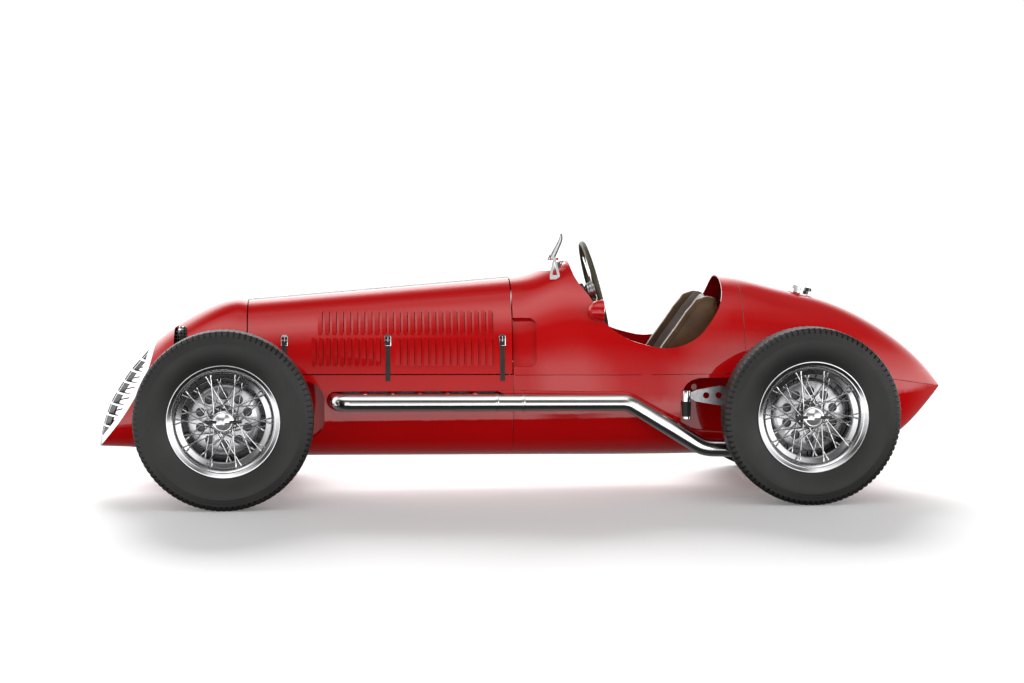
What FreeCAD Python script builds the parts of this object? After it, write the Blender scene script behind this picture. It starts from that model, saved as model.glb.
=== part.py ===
import FreeCAD, Part
import math
import os
import Sketcher
from FreeCAD import Placement, Rotation, Vector

# Single-seat open wheel racing car. +X points to the nose, +Y to the car's left, +Z up.
# The origin lies on the ground, midway between the nose lip and the tip of the tail.

DIMENSIONS = {
    "WheelBase": (2500, "front axle to rear axle"),
    "TrackHalf": (625, "middle of the car to the middle plane of a tyre"),
    "FrontOverhang": (574, "front axle to the nose lip"),
    "RearOverhang": (706, "rear axle to the tip of the tail"),
    "TyreRadius": (380, "tyre radius"),
    "TyreHalfWidth": (84, "half the width of the tyre section"),
    "TreadHalfWidth": (62, "half the width of the tread"),
    "TyreFacets": (72, "flat facets round a tyre"),
    "RimFlangeRadius": (238, "outer radius of the rim flanges"),
    "RimSeatRadius": (216, "radius of the tyre's seat on the rim"),
    "RimHalfWidth": (67.5, "half the width of the rim over its flanges"),
    "RimLedgeRadius": (201, "radius of the rim where the outer spokes end"),
    "RimWellRadius": (178, "radius of the rim where the inner spokes end"),
    "RimStep": (4.5, "thickness of the rim"),
    "SpokeRadius": (2.6, "radius of a spoke"),
    "SpokePairs": (10, "crossed pairs of spokes in each row"),
    "AxleRadius": (24, "radius of a stub axle"),
    "RunningFit": (0.05, "radial clearance of a shaft in its bore"),
    "SeatGap": (0.3, "gap where curved faces seat"),
    "HubRadius": (36, "outer radius of a wheel hub"),
    "HubFlangeRadius": (60, "radius of the hub's inner flange"),
    "HubOutboard": (58, "hub end outboard of the wheel's middle plane"),
    "HubInboard": (22, "hub end inboard of the wheel's middle plane"),
    "KnockOffRadius": (44, "radius of the knock-off's dome"),
    "KnockOffLength": (30, "length of the knock-off"),
    "EarSpan": (158, "tip to tip over the knock-off's ears"),
    "DrumRadius": (158, "outer radius of a brake drum"),
    "DrumDepth": (40, "depth of a brake drum"),
    "DrumWall": (6, "wall of a brake drum"),
    "DrumFlatRadius": (130, "radius of the flat middle of a drum's face"),
    "DrumDome": (16, "how far the drum's face falls back to its rim"),
    "MovingGap": (5, "clearance between moving pieces"),
    "KingpinInset": (95, "wheel's middle plane to the kingpin"),
    "KingpinRadius": (12, "radius of the kingpin"),
    "KingpinHalf": (118, "half the length of the kingpin"),
    "KnuckleHalf": (80, "half the height of the knuckle's boss"),
    "SteeringArm": (150, "kingpin to the track rod's pin"),
    "SteeringArmDrop": (50, "axle height to the track rod"),
    "TrackRodRadius": (10, "radius of the track rod"),
    "SkinThickness": (6, "thickness of the body's skin"),
    "PanelGap": (5, "gap around the opening bonnet"),
    "NoseSeamBack": (85, "front axle to the rear edge of the nose cowl"),
    "BonnetLength": (1161, "length of the bonnet"),
    "CockpitLength": (1011, "scuttle seam to the tail seam"),
    "NoseCrown": (848, "height of the crown at the nose seam"),
    "ScuttleCrown": (944, "height of the crown at the scuttle seam"),
    "CrestHeight": (1027, "height of the scuttle's crest"),
    "HoopHeight": (950, "height of the body behind the seat"),
    "TailCrown": (942, "height of the crown at the tail seam"),
    "BellyHeight": (152, "height of the underside above the ground"),
    "WidestHeight": (450, "height at which the body is widest"),
    "SeamHeight": (536, "height of the seam along the side"),
    "NoseHalfWidth": (280, "half width at the nose seam"),
    "ScuttleHalfWidth": (330, "half width at the scuttle seam"),
    "CockpitHalfWidth": (412, "half width beside the seat"),
    "TailHalfWidth": (398, "half width at the tail seam"),
    "RecessCorner": (85, "corner radius of the recesses in the body's sides"),
    "RecessFloor": (252, "height of the recesses' lower edge"),
    "FrontRecessRoof": (508, "height of the front recess's upper edge"),
    "RearRecessRoof": (524, "height of the rear recess's upper edge"),
    "FrontRecessInside": (205, "middle of the car to the front recess's back wall"),
    "RearRecessInside": (245, "middle of the car to the rear recess's back wall"),
    "LouvrePitch": (31, "spacing of the louvres"),
    "LouvreWidth": (21, "width of a louvre"),
    "LouvreRise": (8, "height of a louvre's rear edge over the bonnet"),
    "PocketLength": (100, "scuttle seam to the rear edge of the air pocket"),
    "PocketBottom": (571, "height of the pocket's lower edge"),
    "PocketTop": (780, "height of the pocket's upper edge"),
    "PocketDepth": (22, "depth of the pocket"),
    "PocketCorner": (30, "radius of the pocket's rear corners"),
    "DrumHoleCircle": (104, "radius of the circle of holes in a drum"),
    "DrumHoleRadius": (19, "radius of a hole in a drum"),
    "DrumHoles": (10, "number of holes in a drum"),
    "ProwRadius": (300, "plan radius of the grille's face"),
    "GrilleDepth": (24, "depth of the grille's bars"),
    "GrilleBar": (6, "thickness of a grille bar"),
    "GrillePitch": (48, "spacing of the horizontal bars"),
    "GrilleRib": (75, "spacing of the upright ribs"),
    "PipeRadius": (37, "outer radius of the exhaust pipe"),
    "PipeWall": (3, "wall of the exhaust pipe"),
    "StubRadius": (22, "radius of an exhaust stub"),
    "StubPitch": (119, "spacing of the exhaust stubs"),
    "HingeRodRadius": (6, "radius of the bonnet's hinge rod"),
    "SteeringRimRadius": (210, "steering wheel radius to the middle of its rim"),
    "SteeringRimGrip": (13, "radius of the steering wheel's rim section"),
    "SteeringTilt": (14.6, "lean of the steering wheel's plane, degrees"),
    "SteeringHeight": (888, "height of the steering wheel's middle"),
    "SteeringBack": (380, "middle of the wheelbase to the steering wheel's middle"),
    "ColumnRadius": (16, "radius of the steering column"),
    "FillerRadius": (42, "outer radius of the filler neck"),
    "FillerLidRadius": (52, "radius of the filler lid"),
    "RailHeight": (90, "height of a chassis rail"),
    "RailWidth": (40, "width of a chassis rail"),
    "RailSpacing": (150, "middle of the car to a rail's middle"),
    "RailBottom": (215, "height of the rails' lower face"),
    "RearTubeRadius": (38, "radius of the rear axle tube"),
}

doc = FreeCAD.newDocument("RacingCar")
sheet = doc.addObject("Spreadsheet::Sheet", "Dims")
for row, (alias, (value, note)) in enumerate(DIMENSIONS.items(), start=1):
    sheet.set(f"A{row}", note)
    sheet.set(f"B{row}", str(value))
    sheet.setAlias(f"B{row}", alias)
doc.recompute()


def dim(alias):
    return float(sheet.get(alias))


half_length = (dim("FrontOverhang") + dim("WheelBase") + dim("RearOverhang")) / 2
front_axle_x = half_length - dim("FrontOverhang")
rear_axle_x = front_axle_x - dim("WheelBase")
mid_x = (front_axle_x + rear_axle_x) / 2
axle_z = dim("TyreRadius")
track = dim("TrackHalf")
fit = dim("RunningFit")
seat_gap = dim("SeatGap")
gap = dim("MovingGap")
skin = dim("SkinThickness")

sub_parts = []


def sub_part(label, shape, place=None):
    """A finished piece under the name of its file."""
    piece = doc.addObject("Part::Feature", label)
    piece.Label = label
    piece.Shape = shape
    if place is not None:
        piece.Placement = place
    sub_parts.append(piece)
    return piece


def body_plane(body, role):
    return next(feature for feature in body.Origin.OriginFeatures if feature.Role == role)


def outline_sketch(body, name, role, corners):
    """A closed outline on one of the body's own planes; each corner is a pair of expressions."""
    sketch = body.newObject("Sketcher::SketchObject", name)
    sketch.AttachmentSupport = [(body_plane(body, role), "")]
    sketch.MapMode = "FlatFace"
    points = []
    for across, up in corners:
        points.append(Vector(number_of(across), number_of(up), 0))
    for start, end in zip(points, points[1:] + points[:1]):
        sketch.addGeometry(Part.LineSegment(start, end), False)
    for index in range(len(points)):
        following = (index + 1) % len(points)
        sketch.addConstraint(Sketcher.Constraint("Coincident", index, 2, following, 1))
    for index, (corner, point) in enumerate(zip(corners, points)):
        for kind, expression, value in (("DistanceX", corner[0], point.x), ("DistanceY", corner[1], point.y)):
            number = sketch.addConstraint(Sketcher.Constraint(kind, -1, 1, index, 1, value))
            sketch.setExpression(f"Constraints[{number}]", expression)
    return sketch


def number_of(expression):
    result = sheet.evalExpression(expression)
    return float(getattr(result, "Value", result))


def revolved_body(label, corners, place):
    """A ring or disc turned about the car's cross axis: corners give distance outboard and radius."""
    body = doc.addObject("PartDesign::Body", label)
    body.Label = label
    sketch = outline_sketch(body, label + "_profile", "YZ_Plane", corners)
    turned = body.newObject("PartDesign::Revolution", label + "_turned")
    turned.Profile = sketch
    turned.ReferenceAxis = (sketch, ["H_Axis"])
    turned.Angle = 360
    body.Tip = turned
    body.Placement = place
    sub_parts.append(body)
    return body


def box(x_span, y_span, z_span):
    size = [span[1] - span[0] for span in (x_span, y_span, z_span)]
    return Part.makeBox(*size, Vector(x_span[0], y_span[0], z_span[0]))


def rod(start, end, radius):
    return Part.makeCylinder(radius, (end - start).Length, start, end - start)


def hexagon_bar(start, end, radius):
    """A slim straight bar with six sides."""
    along = end - start
    turns = [step * math.pi / 3 for step in range(7)]
    corners = Part.makePolygon([Vector(radius * math.cos(turn), radius * math.sin(turn), 0) for turn in turns])
    bar = Part.Face(corners).extrude(Vector(0, 0, along.Length))
    bar.Placement = Placement(start, Rotation(Vector(0, 0, 1), along))
    return bar


def mirrored(shape):
    return shape.mirror(Vector(0, 0, 0), Vector(0, 1, 0))


def both_sides(shape):
    return shape.fuse(mirrored(shape))


def across_edges(shape):
    """The edges of a block that run across the car."""
    return [edge for edge in shape.Edges if abs(edge.tangentAt(edge.FirstParameter).y) > 0.9]


def back(distance):
    """The place at a distance behind the front axle."""
    return front_axle_x - distance


def side_region(points, half_depth=600, curved=False):
    """A solid that runs right across the car over a side view outline of (x, z) points."""
    corners = [Vector(x, -half_depth, z) for x, z in points]
    if curved:
        curve = Part.BSplineCurve()
        curve.interpolate(corners)
        wire = Part.Wire([curve.toShape(), Part.makeLine(corners[-1], corners[0])])
    else:
        wire = Part.makePolygon(corners + corners[:1])
    return Part.Face(wire).extrude(Vector(0, 2 * half_depth, 0))


# The body's skin: each cross section is four quarter curves that meet at the crown, sides and underside.

UPPER_FULLNESS = 0.64
LOWER_FULLNESS = 0.75

nose_seam = dim("NoseSeamBack")
scuttle_seam = nose_seam + dim("BonnetLength")
tail_seam = scuttle_seam + dim("CockpitLength")
tail_tip = dim("WheelBase") + dim("RearOverhang")
belly = dim("BellyHeight")
widest = dim("WidestHeight")
seam_height = dim("SeamHeight")

# Each station: distance behind the front axle, crown height, half width, underside's height, widest height
NOSE_STATIONS = [
    (-620, 420, 190, 208, 320),
    (-450, 548, 222, 200, 360),
    (-330, 665, 240, 190, 395),
    (-257, 721, 248, 182, 415),
    (-110, 807, 264, 168, 440),
    (nose_seam, dim("NoseCrown"), dim("NoseHalfWidth"), belly + 4, widest),
]
BONNET_STATIONS = [
    NOSE_STATIONS[-1],
    (scuttle_seam, dim("ScuttleCrown"), dim("ScuttleHalfWidth"), belly, widest),
]
REAR_STATIONS = [
    BONNET_STATIONS[-1],
    (scuttle_seam + 57, 953, 336, belly, widest),
    (scuttle_seam + 142, 984, 346, belly, widest),
    (scuttle_seam + 259, dim("CrestHeight"), 364, belly, widest),
    (scuttle_seam + 454, 1012, 392, belly, widest),
    (scuttle_seam + 653, 986, dim("CockpitHalfWidth") - 2, belly + 1, widest),
    (tail_seam - 167, 960, dim("CockpitHalfWidth") - 2, belly + 3, widest),
    (tail_seam, dim("TailCrown"), dim("TailHalfWidth"), belly + 6, widest),
    (tail_seam + 193, 896, 377, 156, widest),
    (tail_seam + 406, 841, 330, 156, widest),
    (tail_tip - 322, 740, 250, 172, widest),
    (tail_tip - 156, 623, 160, 272, widest - 2),
    (tail_tip - 56, 522, 74, 376, widest - 4),
    (tail_tip, 448, 5, 440, 444),
]
TAIL_POINT_INSIDE = (tail_tip - 24, 480, 34, 413, widest - 5)


def section_wire(station, inset):
    """One closed cross section of the body, drawn in by a distance."""
    distance, crown, half_width, underside, middle = station
    x = back(distance)
    width = half_width - inset
    crown = crown - inset
    underside = underside + inset
    side_points = [Vector(x, width, middle), Vector(x, 0, crown),
                   Vector(x, -width, middle), Vector(x, 0, underside)]
    edges = []
    for index, start in enumerate(side_points):
        end = side_points[(index + 1) % 4]
        fullness = UPPER_FULLNESS if crown in (start.z, end.z) else LOWER_FULLNESS
        first_pull = Vector(0, 0, end.z - start.z) if index % 2 == 0 else Vector(0, end.y - start.y, 0)
        last_pull = Vector(0, start.y - end.y, 0) if index % 2 == 0 else Vector(0, 0, start.z - end.z)
        quarter = Part.BezierCurve()
        quarter.setPoles([start, start + first_pull * fullness, end + last_pull * fullness, end])
        edges.append(quarter.toShape())
    return Part.Wire(edges)


def hull_solid(stations, inset=0):
    """The solid inside the body's skin over some stations."""
    return Part.makeLoft([section_wire(station, inset) for station in stations], True, False)


ZONES = {
    "nose": NOSE_STATIONS,
    "bonnet": BONNET_STATIONS,
    "rear": REAR_STATIONS,
}
HOLLOWS = dict(ZONES, rear=REAR_STATIONS[:-1] + [TAIL_POINT_INSIDE])
outer = {name: hull_solid(stations) for name, stations in ZONES.items()}
inner = {name: hull_solid(stations, skin) for name, stations in HOLLOWS.items()}

FAR = 1200
seam_line = [
    (back(nose_seam) + 1, seam_height),
    (back(scuttle_seam), seam_height - 2),
    (back(tail_seam), seam_height + 6),
    (back(tail_tip - 243), seam_height - 44),
    (back(tail_tip) - 1, 445),
]


def above_seam(rise=0):
    """Everything over the seam that runs along the side, from the nose seam to the tail's tip."""
    line = [(x, z + rise) for x, z in seam_line]
    return side_region(line + [(line[-1][0], FAR), (line[0][0], FAR)])


upper_side = above_seam()

# The recesses in the body's sides, where the axles' arms work: each is a tub with rounded corners.


def recess_region(first, last, inside, roof, margin=0):
    """The space of a recess on the left, from one distance behind the front axle to another."""
    block = box((back(last) - margin, back(first) + margin), (inside - margin, 700),
                (dim("RecessFloor") - margin, roof + margin))
    return block.makeFillet(dim("RecessCorner"), across_edges(block))


FRONT_RECESS = (-150, 422, dim("FrontRecessInside"), dim("FrontRecessRoof"))
REAR_RECESS = (1972, 2690, dim("RearRecessInside"), dim("RearRecessRoof"))
front_recess = both_sides(recess_region(*FRONT_RECESS))
front_tub = both_sides(recess_region(*FRONT_RECESS, skin))
rear_recess = both_sides(recess_region(*REAR_RECESS))
rear_tub = both_sides(recess_region(*REAR_RECESS, skin))
rear_tub_room = both_sides(recess_region(*REAR_RECESS, skin + seat_gap))
SUSPENSION_FRONT = -45
SUSPENSION_REAR = 190
suspension_opening = box((back(SUSPENSION_REAR), back(SUSPENSION_FRONT)), (-600, 600),
                         (dim("RecessFloor"), dim("FrontRecessRoof")))

# The nose: the prow is round in plan about its spine, and the grille's frame leans along the nose's sides.

SPINE = [(-566, 120), (-574, 210), (-557, 300), (-526, 390), (-474, 480),
         (-408, 570), (-334, 660), (-304, 750), (-276, 840)]
FRAME_LINE = [(-575, 196), (-516, 272), (-475, 324), (-412, 419), (-340, 575), (-322, 650), (-300, 720)]
FRAME_BAND = 25


def prow_solid(shift=0):
    wires = []
    radius = dim("ProwRadius")
    for distance, height in SPINE:
        tip = back(distance) - shift
        left = Vector(tip - radius, radius, height)
        right = Vector(tip - radius, -radius, height)
        nose_arc = Part.Arc(left, Vector(tip, 0, height), right).toShape()
        rear_left = Vector(tip - 4 * radius, radius, height)
        rear_right = Vector(tip - 4 * radius, -radius, height)
        wires.append(Part.Wire([nose_arc, Part.makeLine(right, rear_right),
                                Part.makeLine(rear_right, rear_left), Part.makeLine(rear_left, left)]))
    return Part.makeLoft(wires, True, False)


frame_curve = [(back(distance), height) for distance, height in FRAME_LINE]


def behind_frame(shift=0):
    """Everything behind the leaning line where the red nose ends and the grille begins."""
    curve = Part.BSplineCurve()
    curve.interpolate([Vector(x + shift, -600, z) for x, z in frame_curve])
    first, last = curve.StartPoint, curve.EndPoint
    rear = back(nose_seam) - 50
    corners = [last, Vector(last.x, -600, FAR), Vector(rear, -600, FAR), Vector(rear, -600, 0),
               Vector(first.x, -600, 0), first]
    wire = Part.Wire([curve.toShape()] + [Part.makeLine(a, b) for a, b in zip(corners, corners[1:])])
    return Part.Face(wire).extrude(Vector(0, 1200, 0))


prow = prow_solid()
nose_outer = outer["nose"].common(prow)
nose_region = behind_frame()
nose_hollow = inner["nose"].cut(front_tub)
nose_cowl = outer["nose"].common(nose_region).cut(front_recess).cut(nose_hollow).cut(suspension_opening)

VENT_FRONT = -235
VENT_REAR = -176
VENT_BOTTOM = 630
VENT_TOP = 738
VENT_CORNER = 14
VENT_INSIDE = 60
VENT_BAR = 3
VENT_PITCH = 14


def vent_region(margin=0):
    """The space of the mesh vent in the left shoulder of the nose."""
    block = box((back(VENT_REAR) - margin, back(VENT_FRONT) + margin), (VENT_INSIDE, 600),
                (VENT_BOTTOM - margin, VENT_TOP + margin))
    return block.makeFillet(VENT_CORNER, across_edges(block))


def slabs(first, last, thickness, along_x):
    """Thin walls at an even spacing, across the car's length or level."""
    walls = []
    place = first
    while place + thickness < last:
        if along_x:
            walls.append(box((place, place + thickness), (0, 600), (0, FAR)))
        else:
            walls.append(box((0, FAR * 2), (0, 600), (place, place + thickness)))
        place += VENT_PITCH
    return walls


sub_part("nose_cowl", nose_cowl.cut(both_sides(vent_region())))
mesh_sheet = vent_region(VENT_CORNER).common(hull_solid(NOSE_STATIONS, skin + seat_gap))
mesh_sheet = mesh_sheet.cut(hull_solid(NOSE_STATIONS, skin + seat_gap + VENT_BAR))
walls = slabs(back(VENT_REAR) - VENT_CORNER, back(VENT_FRONT) + VENT_CORNER, VENT_BAR, True)
walls += slabs(VENT_BOTTOM - VENT_CORNER, VENT_TOP + VENT_CORNER, VENT_BAR, False)
vent_mesh = mesh_sheet.common(walls[0].multiFuse(walls[1:]))
sub_part("nose_vents", Part.makeCompound([vent_mesh, mirrored(vent_mesh)]))

grille_inner = hull_solid(NOSE_STATIONS, 16).common(prow_solid(12))
front_of_frame = nose_outer.cut(nose_region)
frame_ring = front_of_frame.common(behind_frame(FRAME_BAND)).cut(grille_inner)
bar_slabs = []
for number in range(9):
    height = 250 + number * dim("GrillePitch")
    bar_slabs.append(box((back(0), back(-700)), (-400, 400), (height, height + dim("GrilleBar"))))
for number in (-1, 0, 1):
    middle = number * dim("GrilleRib")
    bar_slabs.append(box((back(0), back(-700)),
                         (middle - dim("GrilleBar") / 2, middle + dim("GrilleBar") / 2), (150, 900)))
bar_sheet = front_of_frame.cut(behind_frame(FRAME_BAND)).cut(prow_solid(dim("GrilleDepth")))
bars = bar_sheet.common(bar_slabs[0].multiFuse(bar_slabs[1:]))
sub_part("grille", frame_ring.fuse(bars))

RADIATOR_FRONT = -298
RADIATOR_REAR = -252
radiator_slab = box((back(RADIATOR_REAR), back(RADIATOR_FRONT)), (-500, 500), (0, FAR))
sub_part("radiator", hull_solid(NOSE_STATIONS, skin + seat_gap).common(radiator_slab))

# The bonnet: two leaves hinged on a rod along the crown, over fixed lower panels.

hinge_front = Vector(back(nose_seam), 0, dim("NoseCrown") - 2)
hinge_rear = Vector(back(scuttle_seam), 0, dim("ScuttleCrown") - 2)
hinge_rod_radius = dim("HingeRodRadius")
sub_part("bonnet_hinge", rod(hinge_rear, hinge_front, hinge_rod_radius))
panel_gap = dim("PanelGap")
leaf_zone = box((back(scuttle_seam) + panel_gap, back(nose_seam) - panel_gap), (0, 600), (0, FAR))
hinge_room = rod(hinge_rear, hinge_front, hinge_rod_radius + 1)
left_leaf = outer["bonnet"].cut(inner["bonnet"]).common(leaf_zone)
left_leaf = left_leaf.common(above_seam(panel_gap)).cut(hinge_room)

# Fully open, a leaf stands beside the middle plane, so its edge along the hinge is bevelled to that plane.
LEAF_OPENING = 85
BEVEL_REACH = 60
BEVEL_ROOM = 40
bevel_rise = BEVEL_REACH * math.tan(math.radians(90 - LEAF_OPENING))
bevel_foot = hinge_rear - Vector(0, 0, seat_gap)
bevel_corners = [bevel_foot, bevel_foot + Vector(0, BEVEL_REACH, bevel_rise),
                 bevel_foot + Vector(0, BEVEL_REACH, BEVEL_ROOM), bevel_foot + Vector(0, 0, BEVEL_ROOM)]
bevel_face = Part.Face(Part.makePolygon(bevel_corners + bevel_corners[:1]))
left_leaf = left_leaf.cut(bevel_face.extrude(hinge_front - hinge_rear))

# Each row of louvres: distance of the first behind the front axle, how many, lower and upper ends.
LOUVRE_ROWS = [
    (392, 25, 710, 812),
    (365, 10, 575, 697),
    (730, 14, 575, 697),
]
LOUVRE_ROOT = 3
LOUVRE_CORNER = 6


def bonnet_station(distance):
    """The bonnet's section at a distance behind the front axle, straight between its two ends."""
    front, rear = BONNET_STATIONS
    share = (distance - front[0]) / (rear[0] - front[0])
    return [first + (last - first) * share for first, last in zip(front, rear)]


def louvre(distance, bottom, top):
    """One pressed louvre: flush at its front edge and raised at its rear, with bevelled corners."""
    end = distance + dim("LouvreWidth")
    slope = Part.makeLoft([section_wire(bonnet_station(distance), LOUVRE_ROOT - 2),
                           section_wire(bonnet_station(end), -dim("LouvreRise"))], True, True)
    block = box((back(end), back(distance)), (0, 600), (bottom, top))
    block = block.makeChamfer(LOUVRE_CORNER, across_edges(block))
    return slope.common(block)


louvres = []
for first, count, bottom, top in LOUVRE_ROWS:
    for number in range(count):
        louvres.append(louvre(first + number * dim("LouvrePitch"), bottom, top))
louvre_bed = hull_solid(BONNET_STATIONS, LOUVRE_ROOT)
left_leaf = left_leaf.multiFuse([shape.cut(louvre_bed) for shape in louvres])
sub_part("bonnet_left", left_leaf)
sub_part("bonnet_right", mirrored(left_leaf))

exhaust_height = 424
slot_radius = 40
slot_front = Vector(back(472), 0, exhaust_height)
slot_rear = Vector(back(1170), 0, exhaust_height)
across_left = Vector(0, 600, 0)
exhaust_slot = box((slot_rear.x, slot_front.x), (0, 600),
                   (exhaust_height - slot_radius, exhaust_height + slot_radius))
for end in (slot_front, slot_rear):
    exhaust_slot = exhaust_slot.fuse(rod(end, end + across_left, slot_radius))
lower_front = outer["bonnet"].cut(upper_side).cut(front_recess).cut(inner["bonnet"].cut(front_tub))
sub_part("lower_body_front", lower_front.cut(suspension_opening).cut(exhaust_slot))

# The cockpit: its opening is one line in side view, from the scuttle's crest down and up to the hoop.

COCKPIT_EDGE = [(1480, 1140), (1505, 1016), (1526, 950), (1583, 872), (1649, 759), (1683, 729), (1747, 690),
                (1812, 669), (1899, 652), (1987, 666), (2053, 702), (2106, 758), (2147, 816), (2172, 880),
                (2179, 960), (2179, 1140)]
cockpit_opening = side_region([(back(distance), height) for distance, height in COCKPIT_EDGE], curved=True)


def pocket_region(margin=0, depth=0):
    """The air pocket in the scuttle's left side: level with the seam in front, rounded behind."""
    corner = dim("PocketCorner") + margin
    rear_end = back(scuttle_seam + dim("PocketLength"))
    block = box((rear_end - margin, back(scuttle_seam) + 2 * corner), (0, 600),
                (dim("PocketBottom") - margin, dim("PocketTop") + margin))
    block = block.makeFillet(corner, across_edges(block))
    return block.cut(hull_solid(REAR_STATIONS[:5], dim("PocketDepth") + depth))


pocket = both_sides(pocket_region())
pocket_wall = both_sides(pocket_region(skin, skin))
rear_upper = outer["rear"].common(upper_side).cut(pocket).cut(inner["rear"].cut(pocket_wall))
cockpit_span = box((back(tail_seam), back(scuttle_seam)), (-600, 600), (0, FAR))
cockpit_body = rear_upper.common(cockpit_span).cut(cockpit_opening)
sub_part("cockpit_body", cockpit_body)

rear_lower = outer["rear"].cut(upper_side).cut(rear_recess)
rear_hollow = inner["rear"].cut(rear_tub)
axle_room = rod(Vector(rear_axle_x, -700, axle_z), Vector(rear_axle_x, 700, axle_z),
                dim("RearTubeRadius") + seat_gap)
sub_part("lower_body_rear", rear_lower.cut(rear_hollow).cut(axle_room))

filler_foot = Vector(back(2546), 0, 800)
filler_lean = Vector(-0.22, 0, 1).normalize()
filler_top = filler_foot + filler_lean * 84
filler_room = rod(filler_foot, filler_top, dim("FillerRadius") + seat_gap)
tail_body = rear_upper.cut(cockpit_span).cut(filler_room)
sub_part("tail_body", tail_body)

# The chassis: two rails joined by tubes, with ribs that carry the skin.

rail_top = dim("RailBottom") + dim("RailHeight")
rail_span = (dim("RailSpacing") - dim("RailWidth") / 2, dim("RailSpacing") + dim("RailWidth") / 2)
RAIL_FRONT = -60
RAIL_REAR = 2700
CROSS_TUBES = (60, 640, 1210, 2290, 2680)
CROSS_TUBE_RADIUS = 25
RIB_STATIONS = {640: "bonnet", 1200: "bonnet", 2290: "rear"}
RIB_THICKNESS = 8

chassis = box((back(RAIL_REAR), back(RAIL_FRONT)), rail_span, (dim("RailBottom"), rail_top))
chassis = chassis.fuse(mirrored(chassis))
for distance in CROSS_TUBES:
    end = Vector(back(distance), dim("RailSpacing"), (dim("RailBottom") + rail_top) / 2)
    chassis = chassis.fuse(rod(end, Vector(end.x, -end.y, end.z), CROSS_TUBE_RADIUS))
skin_bed = {name: hull_solid(stations, skin + seat_gap) for name, stations in HOLLOWS.items()}
for distance, zone in RIB_STATIONS.items():
    slab = box((back(distance) - RIB_THICKNESS, back(distance)), (-600, 600), (0, rail_top))
    rib = skin_bed[zone].common(slab)
    inside = box((back(distance) - 50, back(distance) + 50), (-rail_span[0], rail_span[0]), (0, FAR))
    chassis = chassis.fuse(rib.cut(inside).cut(rear_tub_room))
SPRING_TOP = 295
SPRING_BOTTOM = 259
LEAF_WIDTH = 60
half_room = LEAF_WIDTH / 2 + seat_gap
spring_room = box((front_axle_x - half_room, front_axle_x + half_room), (-600, 600),
                  (SPRING_BOTTOM - seat_gap, SPRING_TOP + seat_gap))
sub_part("chassis_frame", chassis.cut(spring_room))

ENGINE_FRONT = 300
ENGINE_REAR = 1180
ENGINE_TOP = 745
engine = doc.addObject("Part::Box", "engine_block")
engine.Label = "engine_block"
engine.Length = ENGINE_REAR - ENGINE_FRONT
engine.setExpression("Width", "2 * Dims.RailSpacing")
engine.setExpression("Height", f"{ENGINE_TOP} - Dims.RailBottom - Dims.RailHeight")
engine.Placement = Placement(Vector(back(ENGINE_REAR), -dim("RailSpacing"), rail_top), Rotation())
sub_parts.append(engine)

# The wheels: wire spokes in two crossed rows, a drum behind them and a two-eared knock-off.

RIM_CORNERS = [
    ("-Dims.RimHalfWidth + 2.5", "Dims.RimFlangeRadius"),
    ("-Dims.RimHalfWidth + 8.5", "Dims.RimSeatRadius"),
    ("-Dims.RimHalfWidth + 20", "Dims.RimSeatRadius"),
    ("-Dims.RimHalfWidth + 30", "Dims.RimWellRadius + Dims.RimStep"),
    ("Dims.RimHalfWidth - 43", "Dims.RimWellRadius + Dims.RimStep"),
    ("Dims.RimHalfWidth - 36.5", "Dims.RimLedgeRadius + Dims.RimStep"),
    ("Dims.RimHalfWidth - 31.5", "Dims.RimLedgeRadius + Dims.RimStep"),
    ("Dims.RimHalfWidth - 24", "Dims.RimSeatRadius"),
    ("Dims.RimHalfWidth - 8.5", "Dims.RimSeatRadius"),
    ("Dims.RimHalfWidth - 2.5", "Dims.RimFlangeRadius"),
    ("Dims.RimHalfWidth", "Dims.RimFlangeRadius"),
    ("Dims.RimHalfWidth - 6", "Dims.RimSeatRadius - Dims.RimStep"),
    ("Dims.RimHalfWidth - 22", "Dims.RimSeatRadius - Dims.RimStep"),
    ("Dims.RimHalfWidth - 29.5", "Dims.RimLedgeRadius"),
    ("Dims.RimHalfWidth - 33", "Dims.RimLedgeRadius"),
    ("Dims.RimHalfWidth - 39.5", "Dims.RimWellRadius"),
    ("-Dims.RimHalfWidth + 25", "Dims.RimWellRadius"),
    ("-Dims.RimHalfWidth + 15", "Dims.RimSeatRadius - Dims.RimStep"),
    ("-Dims.RimHalfWidth + 6", "Dims.RimSeatRadius - Dims.RimStep"),
    ("-Dims.RimHalfWidth", "Dims.RimFlangeRadius"),
]
SPOKE_LEDGE = 33.4
SPOKE_SINK = 2.3
TYRE_CORNERS = [
    ("-Dims.RimHalfWidth + 9", "Dims.RimSeatRadius + 9"),
    ("-Dims.TyreHalfWidth", "Dims.TyreRadius - 70"),
    ("-Dims.TyreHalfWidth + 5", "Dims.TyreRadius - 18"),
    ("-Dims.TreadHalfWidth", "Dims.TyreRadius"),
    ("Dims.TreadHalfWidth", "Dims.TyreRadius"),
    ("Dims.TyreHalfWidth - 5", "Dims.TyreRadius - 18"),
    ("Dims.TyreHalfWidth", "Dims.TyreRadius - 70"),
    ("Dims.RimHalfWidth - 9", "Dims.RimSeatRadius + 9"),
    ("Dims.RimHalfWidth - 9", "Dims.RimSeatRadius + Dims.SeatGap"),
    ("-Dims.RimHalfWidth + 9", "Dims.RimSeatRadius + Dims.SeatGap"),
]
DRUM_FACE = "-Dims.HubInboard"
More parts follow.
